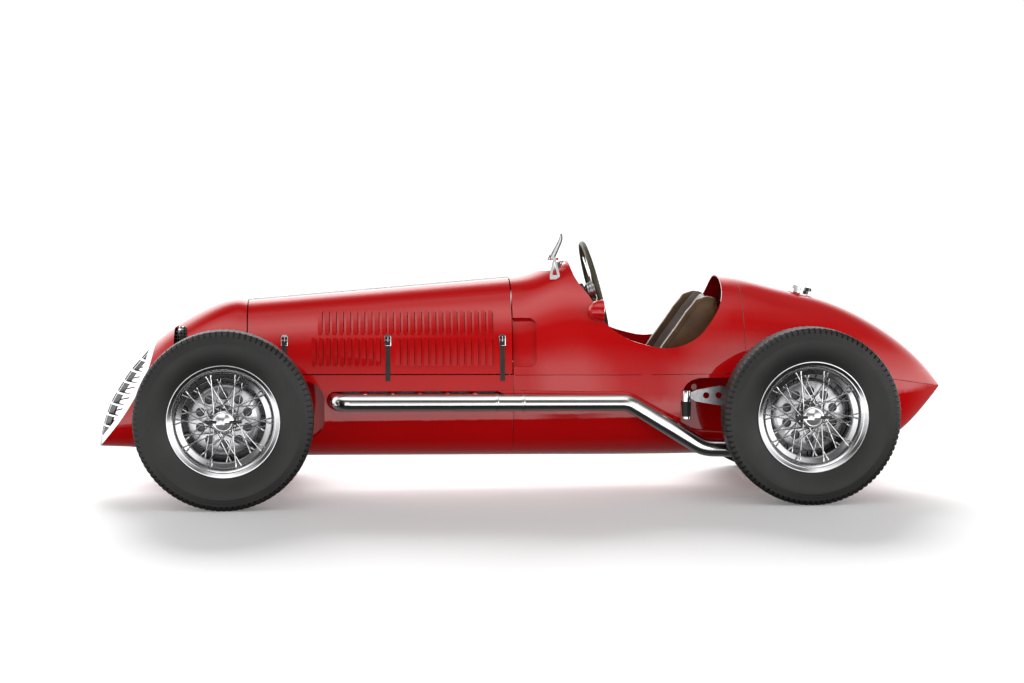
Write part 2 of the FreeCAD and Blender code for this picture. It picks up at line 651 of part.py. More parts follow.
DRUM_CORNERS = [
    (DRUM_FACE, "Dims.AxleRadius + 6"),
    (DRUM_FACE, "Dims.DrumFlatRadius"),
    (DRUM_FACE + " - Dims.DrumDome", "Dims.DrumRadius"),
    (DRUM_FACE + " - Dims.DrumDepth", "Dims.DrumRadius"),
    (DRUM_FACE + " - Dims.DrumDepth", "Dims.DrumRadius - Dims.DrumWall"),
    (DRUM_FACE + " - Dims.DrumDome - Dims.DrumWall", "Dims.DrumRadius - Dims.DrumWall"),
    (DRUM_FACE + " - Dims.DrumWall", "Dims.DrumFlatRadius"),
    (DRUM_FACE + " - Dims.DrumWall", "Dims.AxleRadius + 6"),
]


def turned(corners):
    """A ring about the cross axis from (outboard, radius) numbers."""
    points = [Vector(0, across, radius) for across, radius in corners]
    return Part.Face(Part.makePolygon(points + points[:1])).revolve(Vector(0, 0, 0), Vector(0, 1, 0), 360)


def add_drum_holes(body):
    """The circle of holes in a drum's face."""
    sketch = body.newObject("Sketcher::SketchObject", body.Name + "_hole")
    sketch.AttachmentSupport = [(body_plane(body, "XZ_Plane"), "")]
    sketch.MapMode = "FlatFace"
    circle = sketch.addGeometry(Part.Circle(Vector(0, dim("DrumHoleCircle"), 0), Vector(0, 0, 1),
                                            dim("DrumHoleRadius")), False)
    radius = sketch.addConstraint(Sketcher.Constraint("Radius", circle, dim("DrumHoleRadius")))
    sketch.setExpression(f"Constraints[{radius}]", "Dims.DrumHoleRadius")
    across = sketch.addConstraint(Sketcher.Constraint("DistanceY", -1, 1, circle, 3, dim("DrumHoleCircle")))
    sketch.setExpression(f"Constraints[{across}]", "Dims.DrumHoleCircle")
    sketch.addConstraint(Sketcher.Constraint("PointOnObject", circle, 3, -2))
    hole = body.newObject("PartDesign::Pocket", body.Name + "_pocket")
    hole.Profile = sketch
    hole.Type = "ThroughAll"
    hole.Midplane = True
    ring = body.newObject("PartDesign::PolarPattern", body.Name + "_holes")
    ring.Originals = [hole]
    ring.Axis = (body_plane(body, "Y_Axis"), [""])
    ring.Angle = 360
    ring.setExpression("Occurrences", "Dims.DrumHoles")
    body.Tip = ring


def spoke_row(hub_radius, hub_at, rim_radius, rim_at, offset, lean):
    """Crossed pairs of spokes from one hub flange to the rim."""
    spokes = []
    pairs = int(dim("SpokePairs"))
    for pair in range(pairs):
        middle = math.radians(offset + pair * 360 / pairs)
        for side in (-1, 1):
            rim_angle = middle + side * math.radians(4.5)
            hub_angle = middle - side * math.radians(lean)
            start = Vector(hub_radius * math.cos(hub_angle), hub_at + side * dim("SpokeRadius"),
                           hub_radius * math.sin(hub_angle))
            end = Vector(rim_radius * math.cos(rim_angle), rim_at + side * dim("SpokeRadius"),
                         rim_radius * math.sin(rim_angle))
            spokes.append(hexagon_bar(start, end, dim("SpokeRadius")))
    return spokes


def facet_ring(across, radius):
    """The corners of a regular polygon about the cross axis, whose sides touch a circle."""
    facets = int(dim("TyreFacets"))
    reach = radius / math.cos(math.pi / facets)
    angles = [2 * math.pi * (step + 0.5) / facets for step in range(facets)]
    return [Vector(reach * math.cos(angle), across, reach * math.sin(angle)) for angle in angles]


def tyre():
    """The tyre's section carried round in narrow flat facets, so that four tyres stay light."""
    rings = [facet_ring(number_of(across), number_of(radius)) for across, radius in TYRE_CORNERS]
    faces = []
    for ring, next_ring in zip(rings, rings[1:] + rings[:1]):
        for step in range(len(ring)):
            following = (step + 1) % len(ring)
            corners = [ring[step], ring[following], next_ring[following], next_ring[step], ring[step]]
            faces.append(Part.Face(Part.makePolygon(corners)))
    solid = Part.makeSolid(Part.makeShell(faces))
    return solid if solid.Volume > 0 else solid.reversed()


def wire_wheel():
    rim = turned([(number_of(across), number_of(radius)) for across, radius in RIM_CORNERS])
    bore = dim("AxleRadius") + fit
    flange_face = -dim("HubInboard")
    hub = turned([
        (flange_face, bore), (flange_face, dim("HubFlangeRadius")),
        (flange_face + 10, dim("HubFlangeRadius")), (flange_face + 10, dim("HubRadius")),
        (dim("HubOutboard"), dim("HubRadius")), (dim("HubOutboard"), bore),
    ])
    outer_row = spoke_row(dim("HubRadius") - 4, dim("HubOutboard") - 12, dim("RimLedgeRadius") + SPOKE_SINK,
                          dim("RimHalfWidth") - SPOKE_LEDGE, 0, 62)
    inner_row = spoke_row(dim("HubFlangeRadius") - 8, flange_face + 6,
                          dim("RimWellRadius") + SPOKE_SINK, 0, 18, 50)
    return rim.multiFuse([hub] + outer_row + inner_row)


def knock_off():
    """The dome that holds a wheel on, with its two ears."""
    seat = dim("HubOutboard")
    radius = dim("KnockOffRadius")
    length = dim("KnockOffLength")
    half_span = dim("EarSpan") / 2
    dome = turned([(seat, 0), (seat, radius), (seat + length * 0.4, radius),
                   (seat + length * 0.8, radius * 0.62), (seat + length, radius * 0.3), (seat + length, 0)])
    ear_outline = [Vector(-half_span, seat + 4, 0), Vector(-half_span + 8, seat + 24, 0),
                   Vector(-radius * 0.5, seat + 18, 0), Vector(radius * 0.5, seat + 18, 0),
                   Vector(half_span - 8, seat + 24, 0), Vector(half_span, seat + 4, 0),
                   Vector(radius, seat, 0), Vector(-radius, seat, 0)]
    ears = Part.Face(Part.makePolygon(ear_outline + ear_outline[:1])).extrude(Vector(0, 0, 22))
    ears.translate(Vector(0, 0, -11))
    return dome.fuse(ears)


wheel_shape = wire_wheel()
tyre_shape = tyre()
knock_off_shape = knock_off()
CORNERS = {
    "front_left": (front_axle_x, 1),
    "front_right": (front_axle_x, -1),
    "rear_left": (rear_axle_x, 1),
    "rear_right": (rear_axle_x, -1),
}
for corner, (axle_x, side) in CORNERS.items():
    place = Placement(Vector(axle_x, side * track, axle_z), Rotation(Vector(0, 0, 1), 0 if side > 0 else 180))
    sub_part("wheel_" + corner, wheel_shape, place)
    sub_part("tyre_" + corner, tyre_shape, place)
    add_drum_holes(revolved_body("drum_" + corner, DRUM_CORNERS, place))
    sub_part("knock_off_" + corner, knock_off_shape, place)

# The front suspension: a transverse leaf spring below and a pair of arms above carry each kingpin.

backing_face = track - dim("HubInboard") - dim("DrumDepth") - gap
BACKING_THICKNESS = 4
kingpin_y = track - dim("KingpinInset")
knuckle_radius = 26
axle_end = track + dim("HubOutboard") - 6
steering_pin = Vector(front_axle_x - dim("SteeringArm"), kingpin_y, axle_z - dim("SteeringArmDrop"))
STEERING_PIN_RADIUS = 8
STEERING_PIN_LENGTH = 34


def knuckle():
    """Left stub axle with its kingpin, backing plate and steering arm."""
    centre = Vector(front_axle_x, kingpin_y, axle_z)
    up = Vector(0, 0, 1)
    boss = rod(centre - up * dim("KnuckleHalf"), centre + up * dim("KnuckleHalf"), knuckle_radius)
    pin = rod(centre - up * dim("KingpinHalf"), centre + up * dim("KingpinHalf"), dim("KingpinRadius"))
    stub = rod(centre, Vector(centre.x, axle_end, centre.z), dim("AxleRadius"))
    plate = rod(Vector(centre.x, backing_face - BACKING_THICKNESS, centre.z),
                Vector(centre.x, backing_face, centre.z), dim("DrumRadius") + 5)
    arm = box((steering_pin.x, centre.x), (kingpin_y - 9, kingpin_y + 9),
              (steering_pin.z - 22, steering_pin.z - 12))
    arm = arm.fuse(rod(steering_pin - up * 22, steering_pin - up * 12, 16))
    steering_stud = rod(steering_pin - up * 22, steering_pin + up * 12, STEERING_PIN_RADIUS)
    return boss.multiFuse([pin, stub, plate, arm, steering_stud])


left_knuckle = knuckle()
sub_part("knuckle_left", left_knuckle)
sub_part("knuckle_right", mirrored(left_knuckle))

TRACK_ROD_EYE = 18
eye_bottom = steering_pin.z - 11
eye_top = steering_pin.z + 9
track_rod = rod(Vector(steering_pin.x, -kingpin_y, steering_pin.z),
                Vector(steering_pin.x, kingpin_y, steering_pin.z),
                dim("TrackRodRadius"))
for side in (-1, 1):
    foot = Vector(steering_pin.x, side * kingpin_y, eye_bottom)
    head = Vector(foot.x, foot.y, eye_top)
    track_rod = track_rod.fuse(rod(foot, head, TRACK_ROD_EYE))
for side in (-1, 1):
    foot = Vector(steering_pin.x, side * kingpin_y, eye_bottom - 10)
    track_rod = track_rod.cut(rod(foot, foot + Vector(0, 0, 60), STEERING_PIN_RADIUS + fit))
sub_part("track_rod", track_rod)

ARM_EYE_RADIUS = 24
ARM_ROD_RADIUS = 11
ARM_SPREAD = 95
arm_eye_bottom = axle_z + dim("KnuckleHalf") + 1
arm_eye_top = axle_z + dim("KingpinHalf") - 2
arm_root_y = rail_span[1] - 10
tower_top = arm_eye_top + 6


def front_arms(side):
    """One upper wishbone with the tower on the rail that carries it."""
    middle_z = (arm_eye_bottom + arm_eye_top) / 2
    eye_foot = Vector(front_axle_x, side * kingpin_y, arm_eye_bottom)
    eye_head = Vector(front_axle_x, side * kingpin_y, arm_eye_top)
    shape = rod(eye_foot, eye_head, ARM_EYE_RADIUS)
    for spread in (0, ARM_SPREAD):
        root = Vector(front_axle_x - spread, side * arm_root_y, middle_z)
        shape = shape.fuse(rod(root, Vector(front_axle_x, side * kingpin_y, middle_z), ARM_ROD_RADIUS))
    tower = box((front_axle_x - ARM_SPREAD - 14, front_axle_x + 14),
                sorted((side * rail_span[0], side * rail_span[1])),
                (rail_top, tower_top))
    shape = shape.fuse(tower)
    pin_room = rod(eye_foot - Vector(0, 0, 20), eye_head + Vector(0, 0, 20), dim("KingpinRadius") + fit)
    return shape.cut(pin_room)


sub_part("front_arms", Part.makeCompound([front_arms(1), front_arms(-1)]))

LEAF_COUNT = 4
LEAF_THICKNESS = (SPRING_TOP - SPRING_BOTTOM) / LEAF_COUNT
spring_eye_top = axle_z - dim("KnuckleHalf") - 1
spring_eye_bottom = axle_z - dim("KingpinHalf") + 2


def front_spring():
    """The transverse spring: leaves that get shorter downwards, with an eye round each kingpin's foot."""
    leaves = []
    for leaf in range(LEAF_COUNT):
        half = (kingpin_y - 10) * (1 - 0.2 * leaf)
        level = SPRING_TOP - leaf * LEAF_THICKNESS
        leaves.append(box((front_axle_x - LEAF_WIDTH / 2, front_axle_x + LEAF_WIDTH / 2), (-half, half),
                          (level - LEAF_THICKNESS, level)))
    shape = leaves[0].multiFuse(leaves[1:])
    for side in (-1, 1):
        foot = Vector(front_axle_x, side * kingpin_y, spring_eye_bottom)
        head = Vector(front_axle_x, side * kingpin_y, spring_eye_top)
        shape = shape.fuse(rod(foot, head, ARM_EYE_RADIUS))
    for side in (-1, 1):
        foot = Vector(front_axle_x, side * kingpin_y, spring_eye_bottom - 20)
        shape = shape.cut(rod(foot, foot + Vector(0, 0, 80), dim("KingpinRadius") + fit))
    return shape


sub_part("front_spring", front_spring())

# The rear axle: one tube with the final drive's housing, backing plates and stub axles.

REAR_HOUSING_RADIUS = 135
REAR_HOUSING_HALF = 75
rear_centre = Vector(rear_axle_x, 0, axle_z)
tube_end = backing_face
rear_axle = rod(Vector(rear_axle_x, -tube_end, axle_z), Vector(rear_axle_x, tube_end, axle_z),
                dim("RearTubeRadius"))
rear_axle = rear_axle.fuse(rod(Vector(rear_axle_x, -REAR_HOUSING_HALF, axle_z),
                               Vector(rear_axle_x, REAR_HOUSING_HALF, axle_z), REAR_HOUSING_RADIUS))
for side in (-1, 1):
    plate_inner = Vector(rear_axle_x, side * (backing_face - BACKING_THICKNESS), axle_z)
    plate_outer = Vector(rear_axle_x, side * backing_face, axle_z)
    rear_axle = rear_axle.fuse(rod(plate_inner, plate_outer, dim("DrumRadius") + 5))
    stub_end = Vector(rear_axle_x, side * axle_end, axle_z)
    rear_axle = rear_axle.fuse(rod(plate_inner, stub_end, dim("AxleRadius")))
sub_part("rear_axle", rear_axle)

PIVOT_BACK = 1991
PIVOT_Y = 430
PIVOT_RADIUS = 17
PIVOT_FOOT = 348
PIVOT_HEAD = 470
ARM_PLATE = 8


def radius_arm():
    """The pierced plate from the pivot on the body's side to the axle."""
    pivot_x = back(PIVOT_BACK)
    tip = pivot_x - PIVOT_RADIUS
    outline = [Vector(tip, 0, 462), Vector(tip - 25, 0, 474), Vector(tip - 130, 0, 492),
               Vector(rear_axle_x, 0, axle_z + 75), Vector(rear_axle_x, 0, axle_z - 10),
               Vector(tip - 130, 0, 405), Vector(tip - 25, 0, 424), Vector(tip, 0, 438)]
    plate = Part.Face(Part.makePolygon(outline + outline[:1])).extrude(Vector(0, ARM_PLATE, 0))
    plate.translate(Vector(0, PIVOT_Y - ARM_PLATE / 2, 0))
    for hole in range(5):
        centre = Vector(back(2077 + hole * 55), PIVOT_Y - 20, 450)
        plate = plate.cut(rod(centre, centre + Vector(0, 40, 0), 14))
    tube_room = rod(Vector(rear_axle_x, 0, axle_z), Vector(rear_axle_x, 600, axle_z),
                    dim("RearTubeRadius") + seat_gap)
    return plate.cut(tube_room)


def rear_pivot():
    """The upright damper that the radius arm pivots on, with its bracket to the recess."""
    foot = Vector(back(PIVOT_BACK), PIVOT_Y, PIVOT_FOOT)
    head = Vector(back(PIVOT_BACK), PIVOT_Y, PIVOT_HEAD)
    column = rod(foot, head, PIVOT_RADIUS)
    bracket = rod(Vector(foot.x, dim("RearRecessInside"), 400), Vector(foot.x, PIVOT_Y, 400), 10)
    return column.fuse(bracket)


left_arm = radius_arm()
sub_part("rear_arms", Part.makeCompound([left_arm, mirrored(left_arm)]))
left_pivot = rear_pivot()
sub_part("rear_dampers", Part.makeCompound([left_pivot, mirrored(left_pivot)]))

# The exhaust: six stubs run into one pipe along the left side.

engine_side = dim("RailSpacing") + seat_gap
PIPE_PATH = [(472, engine_side, 424, 0), (472, 386, 424, 62), (1736, 455, 424, 90), (2065, 446, 222, 150),
             (2760, 418, 200, 0)]
FIRST_STUB = 599
STUB_HEIGHT = 440
STUB_END = 400


def rounded_path(points):
    """A wire of straight runs joined by tangent arcs; each point gives (x, y, z, bend radius)."""
    corners = [Vector(back(distance), y, z) for distance, y, z, _ in points]
    edges = []
    start = corners[0]
    for index in range(1, len(corners) - 1):
        corner = corners[index]
        before = (corners[index - 1] - corner).normalize()
        after = (corners[index + 1] - corner).normalize()
        half_turn = before.getAngle(after) / 2
        reach = points[index][3] / math.tan(half_turn)
        first = corner + before * reach
        last = corner + after * reach
        bisector = (before + after).normalize()
        centre = corner + bisector * (points[index][3] / math.sin(half_turn))
        middle = centre - bisector * points[index][3]
        edges.append(Part.makeLine(start, first))
        edges.append(Part.Arc(first, middle, last).toShape())
        start = last
    edges.append(Part.makeLine(start, corners[-1]))
    return Part.Wire(edges)


def swept(path, radius):
    first = path.Edges[0]
    foot = first.valueAt(first.FirstParameter)
    along = first.tangentAt(first.FirstParameter)
    circle = Part.Wire(Part.makeCircle(radius, foot, along))
    return path.makePipeShell([circle], True, False)


pipe_path = rounded_path(PIPE_PATH)
pipe = swept(pipe_path, dim("PipeRadius"))
last_edge = pipe_path.Edges[-1]
pipe_end = last_edge.valueAt(last_edge.LastParameter)
pipe_direction = last_edge.tangentAt(last_edge.LastParameter)
OUTLET_DEPTH = 150
pipe = pipe.cut(rod(pipe_end - pipe_direction * OUTLET_DEPTH, pipe_end + pipe_direction * 5,
                    dim("PipeRadius") - dim("PipeWall")))
for number in range(5):
    x = back(FIRST_STUB + number * dim("StubPitch"))
    stub = rod(Vector(x, engine_side, STUB_HEIGHT), Vector(x, STUB_END, STUB_HEIGHT), dim("StubRadius"))
    pipe = pipe.fuse(stub)
sub_part("exhaust", pipe)

# The cockpit's fittings.

SEAT_HALF = 236
SEAT_OUTLINE = [(1770, 305.3), (1800, 470), (1832, 640), (1905, 760), (1985, 862), (2060, 884), (2150, 884),
                (2172, 860), (2176, 600), (2140, 305.3)]
SEAT_HOLLOW = [(1700, 400), (1990, 356), (2056, 500), (2110, 920), (1700, 920)]
seat = side_region([(back(distance), height) for distance, height in SEAT_OUTLINE], SEAT_HALF)
seat = seat.cut(side_region([(back(distance), height) for distance, height in SEAT_HOLLOW], SEAT_HALF - 62))
sub_part("seat", seat)

steering_centre = Vector(mid_x - dim("SteeringBack"), 0, dim("SteeringHeight"))
tilt = math.radians(dim("SteeringTilt"))
to_driver = Vector(-math.cos(tilt), 0, math.sin(tilt))
wheel_up = Vector(math.sin(tilt), 0, math.cos(tilt))
SPINDLE_RADIUS = 9
SPINDLE_LENGTH = 30
HUB_BEHIND = 34
HUB_FRONT = 10
STEERING_HUB_RADIUS = 30


def steering_wheel():
    """A round rim on four flat spokes, its hub bored for the column's spindle."""
    ring = Part.makeTorus(dim("SteeringRimRadius"), dim("SteeringRimGrip"))
    hub = Part.makeCylinder(STEERING_HUB_RADIUS, HUB_BEHIND + HUB_FRONT, Vector(0, 0, -HUB_BEHIND))
    spokes = []
    for quarter in range(4):
        spoke = Part.makeBox(dim("SteeringRimRadius"), 24, 4, Vector(0, -12, -2))
        spoke.rotate(Vector(0, 0, 0), Vector(0, 0, 1), 45 + quarter * 90)
        spokes.append(spoke)
    whole = ring.multiFuse([hub] + spokes)
    bore = Part.makeCylinder(SPINDLE_RADIUS + fit, SPINDLE_LENGTH + 2, Vector(0, 0, -HUB_BEHIND - 1))
    return whole.cut(bore)


wheel_turn = Rotation(Vector(0, 0, 1), to_driver)
sub_part("steering_wheel", steering_wheel(), Placement(steering_centre, wheel_turn))

column_top = steering_centre - to_driver * (HUB_BEHIND + 1)
COLUMN_LENGTH = 400
column_foot = column_top - to_driver * COLUMN_LENGTH
column = rod(column_foot, column_top, dim("ColumnRadius"))
column = column.fuse(rod(column_top, column_top + to_driver * (SPINDLE_LENGTH - 2), SPINDLE_RADIUS))
column = column.fuse(rod(column_top - to_driver * 60, column_top, dim("ColumnRadius") + 8))
sub_part("steering_column", column)

column_room = rod(column_foot - to_driver * 60, column_top + to_driver * 60, dim("ColumnRadius") + seat_gap)
DASH_BACK = 1512
DASH_THICKNESS = 5
DASH_BOTTOM = 730
dash_slab = box((back(DASH_BACK) - DASH_THICKNESS, back(DASH_BACK)), (-600, 600), (DASH_BOTTOM, FAR))
dashboard = skin_bed["rear"].common(dash_slab).cut(cockpit_opening).cut(column_room)
sub_part("dashboard", dashboard)

BULKHEAD_THICKNESS = 5
FIREWALL_BACK = scuttle_seam + 12
REAR_BULKHEAD_BACK = tail_seam - 30
pocket_room = both_sides(pocket_region(skin + seat_gap, skin + seat_gap))
bulkheads = []
for distance in (FIREWALL_BACK, REAR_BULKHEAD_BACK):
    slab = box((back(distance) - BULKHEAD_THICKNESS, back(distance)), (-600, 600), (rail_top + seat_gap, FAR))
    wall = skin_bed["rear"].common(slab).cut(column_room).cut(pocket_room)
    bulkheads.append(wall.cut(rear_tub_room))
sub_part("bulkheads", Part.makeCompound(bulkheads))

# The aero screen: a pane curved in plan that leans back, in a frame with two stays on the scuttle.

SCREEN_RADIUS = 170
SCREEN_THICKNESS = 5
SCREEN_HALF_ANGLE = 52
SCREEN_LEAN = 30
SCREEN_HEIGHT = 160
screen_foot = Vector(back(1392), 0, 1004)


def screen_band(inner_radius, outer_radius, low, high):
    """A piece of the screen's curved sheet between two heights along it."""
    ring = Part.makeCylinder(outer_radius, high - low, Vector(-SCREEN_RADIUS, 0, low))
    ring = ring.cut(Part.makeCylinder(inner_radius, high - low, Vector(-SCREEN_RADIUS, 0, low)))
    reach = 3 * SCREEN_RADIUS
    side = reach * math.tan(math.radians(SCREEN_HALF_ANGLE))
    wedge = Part.makePolygon([Vector(-SCREEN_RADIUS, 0, low), Vector(reach - SCREEN_RADIUS, side, low),
                              Vector(reach - SCREEN_RADIUS, -side, low), Vector(-SCREEN_RADIUS, 0, low)])
    band = ring.common(Part.Face(wedge).extrude(Vector(0, 0, high - low)))
    band.rotate(Vector(0, 0, 0), Vector(0, 1, 0), -SCREEN_LEAN)
    band.translate(screen_foot)
    return band


STAY_BASE = 44
STAY_TIP = 12
STAY_FOOT = 20
STAY_HEIGHT = 104
STAY_THICKNESS = 5
STAY_LEAN = 22
STAY_BACK = 1438
STAY_BOTTOM = 942
STAY_Y = 186
GLASS_FOOT_GAP = 10
FRAME_RISE = 24
glass = screen_band(SCREEN_RADIUS - SCREEN_THICKNESS, SCREEN_RADIUS, -60, SCREEN_HEIGHT)
glass = glass.cut(hull_solid(REAR_STATIONS, -GLASS_FOOT_GAP))
glass_room = screen_band(SCREEN_RADIUS - SCREEN_THICKNESS - seat_gap, SCREEN_RADIUS + seat_gap,
                         -60, SCREEN_HEIGHT)
glass_room = glass_room.cut(hull_solid(REAR_STATIONS, seat_gap - GLASS_FOOT_GAP))
screen_frame = screen_band(SCREEN_RADIUS - SCREEN_THICKNESS - 4, SCREEN_RADIUS + 4, -60, 60)
screen_frame = screen_frame.common(hull_solid(REAR_STATIONS, -FRAME_RISE))
over_rear_skin = hull_solid(REAR_STATIONS, -seat_gap)


def screen_stay():
    """The left stay: an A-shaped plate that leans in from the scuttle's side to the foot of the pane."""
    outline = [Vector(-STAY_BASE / 2, 0, 0), Vector(STAY_BASE / 2, 0, 0), Vector(STAY_BASE / 2, 0, STAY_FOOT),
               Vector(STAY_TIP / 2, 0, STAY_HEIGHT), Vector(-STAY_TIP / 2, 0, STAY_HEIGHT),
               Vector(-STAY_BASE / 2, 0, STAY_FOOT)]
    window = [Vector(-STAY_BASE / 4, 0, STAY_FOOT), Vector(STAY_BASE / 4, 0, STAY_FOOT),
              Vector(0, 0, STAY_HEIGHT * 0.8)]
    plate = Part.Face(Part.makePolygon(outline + outline[:1])).extrude(Vector(0, STAY_THICKNESS, 0))
    plate = plate.cut(Part.Face(Part.makePolygon(window + window[:1])).extrude(Vector(0, STAY_THICKNESS, 0)))
    plate.rotate(Vector(0, 0, 0), Vector(1, 0, 0), STAY_LEAN)
    plate.translate(Vector(back(STAY_BACK), STAY_Y, STAY_BOTTOM))
    return plate


left_stay = screen_stay()
screen_frame = screen_frame.multiFuse([left_stay, mirrored(left_stay)])
screen_frame = screen_frame.cut(glass_room).cut(over_rear_skin)
sub_part("windscreen_frame", screen_frame)
sub_part("windscreen_glass", glass)

MIRROR_BACK = 1637
MIRROR_Y = 336
MIRROR_Z = 815
MIRROR_HALF_HEIGHT = 48
MIRROR_REACH = 70


def mirror_pod():
    """A half dome with a flat glass at its rear, on the side of the cockpit."""
    dome = Part.makeSphere(MIRROR_HALF_HEIGHT)
    stretch = FreeCAD.Matrix()
    stretch.scale(MIRROR_REACH / MIRROR_HALF_HEIGHT, 1, 1)
    dome = dome.transformGeometry(stretch)
    dome = dome.common(Part.makeBox(200, 200, 200, Vector(0, -100, -100)))
    dome.translate(Vector(back(MIRROR_BACK), MIRROR_Y, MIRROR_Z))
    return dome.cut(outer["rear"])


left_pod = mirror_pod()
sub_part("mirrors", Part.makeCompound([left_pod, mirrored(left_pod)]))

# The fuel filler on the tail, with its flip-up lid.

NECK_WALL = 4
LID_THICKNESS = 16
neck = rod(filler_foot, filler_top, dim("FillerRadius"))
neck_bore = rod(filler_foot + filler_lean * 6, filler_top + filler_lean * 5, dim("FillerRadius") - NECK_WALL)
neck = neck.cut(neck_bore)
LID_GAP = 1
HINGE_PIN = 4
HINGE_KNUCKLE = 8
HINGE_HALF = 12
EAR_THICKNESS = 5
filler_back = Vector(-filler_lean.z, 0, filler_lean.x)
lid_foot = filler_top + filler_lean * LID_GAP
lid_hinge_reach = dim("FillerLidRadius") + HINGE_KNUCKLE
lid_hinge = lid_foot + filler_lean * (LID_THICKNESS / 2) + filler_back * lid_hinge_reach


def across_pin(middle, half, radius):
    return rod(middle - Vector(0, half, 0), middle + Vector(0, half, 0), radius)


def hinge_ear(side):
    """A flat ear from the neck's side up to the hinge pin."""
    near = filler_top + filler_back * (dim("FillerRadius") - 6)
    corners = [near - filler_lean * 34, near - filler_lean * 12,
               lid_hinge - filler_back * 6 - filler_lean * 11, lid_hinge - filler_back * 6 + filler_lean * 4,
               lid_hinge + filler_lean * 6, lid_hinge + filler_back * 6,
               lid_hinge + filler_back * 2 - filler_lean * 13]
    ear = Part.Face(Part.makePolygon(corners + corners[:1])).extrude(Vector(0, EAR_THICKNESS, 0))
    ear.translate(Vector(0, side * (HINGE_HALF + 1 + EAR_THICKNESS / 2) - EAR_THICKNESS / 2, 0))
    return ear.cut(over_rear_skin)


neck = neck.multiFuse([hinge_ear(-1), hinge_ear(1), across_pin(lid_hinge, HINGE_HALF + 2, HINGE_PIN)])
sub_part("filler_neck", neck)
lid = rod(lid_foot, lid_foot + filler_lean * LID_THICKNESS, dim("FillerLidRadius"))
tongue = rod(lid_hinge, lid_hinge - filler_back * (HINGE_KNUCKLE + 10), 6)
lid = lid.fuse(tongue).fuse(across_pin(lid_hinge, HINGE_HALF, HINGE_KNUCKLE))
lid = lid.cut(across_pin(lid_hinge, HINGE_HALF + 5, HINGE_PIN + fit))
sub_part("filler_lid", lid)

# Leather straps hold each leaf of the bonnet down.

STRAP_BACKS = (250, 699, 1198)
STRAP_WIDTH = 20
STRAP_THICKNESS = 3
STRAP_TOP = 706
STRAP_BOTTOM = 510
strap_bed = hull_solid(BONNET_STATIONS, -seat_gap)
strap_zone = hull_solid(BONNET_STATIONS, -seat_gap - STRAP_THICKNESS).cut(strap_bed)
straps = []
for distance in STRAP_BACKS:
    slab = box((back(distance) - STRAP_WIDTH / 2, back(distance) + STRAP_WIDTH / 2), (0, 600),
               (STRAP_BOTTOM, STRAP_TOP))
    straps.append(strap_zone.common(slab))
left_straps = Part.makeCompound(straps)
sub_part("straps_left", left_straps)
sub_part("straps_right", mirrored(left_straps))

doc.recompute()
for item in doc.Objects:
    if {"Invalid", "Error"} & set(item.State):
        raise RuntimeError(f"{item.Label} did not build")
for piece in sub_parts:
    if piece.Shape.isNull() or not piece.Shape.isValid():
        raise RuntimeError(f"{piece.Label} has no valid shape")
os.makedirs("parts", exist_ok=True)
for piece in sub_parts:
    piece.Shape.exportStep(f"parts/{piece.Label}.step")
    bounds = piece.Shape.BoundBox
    print(f"{piece.Label}: {len(piece.Shape.Solids)} solids, {piece.Shape.Volume / 1000:.0f} cm3, "
          f"x {bounds.XMin:.0f} to {bounds.XMax:.0f}, y {bounds.YMin:.0f} to {bounds.YMax:.0f}, "
          f"z {bounds.ZMin:.0f} to {bounds.ZMax:.0f}")
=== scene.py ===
import math

import bmesh
import bpy
from mathutils import Matrix, Vector
from mathutils.bvhtree import BVHTree


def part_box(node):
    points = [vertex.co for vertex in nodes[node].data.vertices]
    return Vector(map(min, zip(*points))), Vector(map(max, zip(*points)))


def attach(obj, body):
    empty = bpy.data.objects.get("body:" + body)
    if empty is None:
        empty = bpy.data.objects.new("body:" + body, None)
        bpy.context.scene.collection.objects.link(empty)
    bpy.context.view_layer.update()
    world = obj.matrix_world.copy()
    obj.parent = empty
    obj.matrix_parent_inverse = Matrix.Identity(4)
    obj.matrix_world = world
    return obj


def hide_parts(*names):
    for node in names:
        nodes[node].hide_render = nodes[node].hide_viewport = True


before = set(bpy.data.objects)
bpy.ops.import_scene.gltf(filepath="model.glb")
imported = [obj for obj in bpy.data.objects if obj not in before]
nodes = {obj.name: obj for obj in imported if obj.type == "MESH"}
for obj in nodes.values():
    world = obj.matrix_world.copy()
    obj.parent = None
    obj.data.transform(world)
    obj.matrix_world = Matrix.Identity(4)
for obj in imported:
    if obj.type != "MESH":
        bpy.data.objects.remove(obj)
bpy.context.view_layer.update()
CORNERS = ("front_left", "front_right", "rear_left", "rear_right")
SIDES = ((1, "left"), (-1, "right"))
MM = 0.001

# Node materials


def colour_ramp(tree, factor, stops):
    """The colour of a ramp through stops, each a place and a colour."""
    node = tree.nodes.new("ShaderNodeValToRGB")
    elements = node.color_ramp.elements
    while len(elements) < len(stops):
        elements.new(0.5)
    for element, (position, colour) in zip(elements, stops):
        element.position = position
        element.color = (*colour, 1)
    tree.links.new(factor, node.inputs["Fac"])
    return node.outputs["Color"]


def grey_ramp(tree, factor, stops):
    return colour_ramp(tree, factor, [(position, (grey,) * 3) for position, grey in stops])


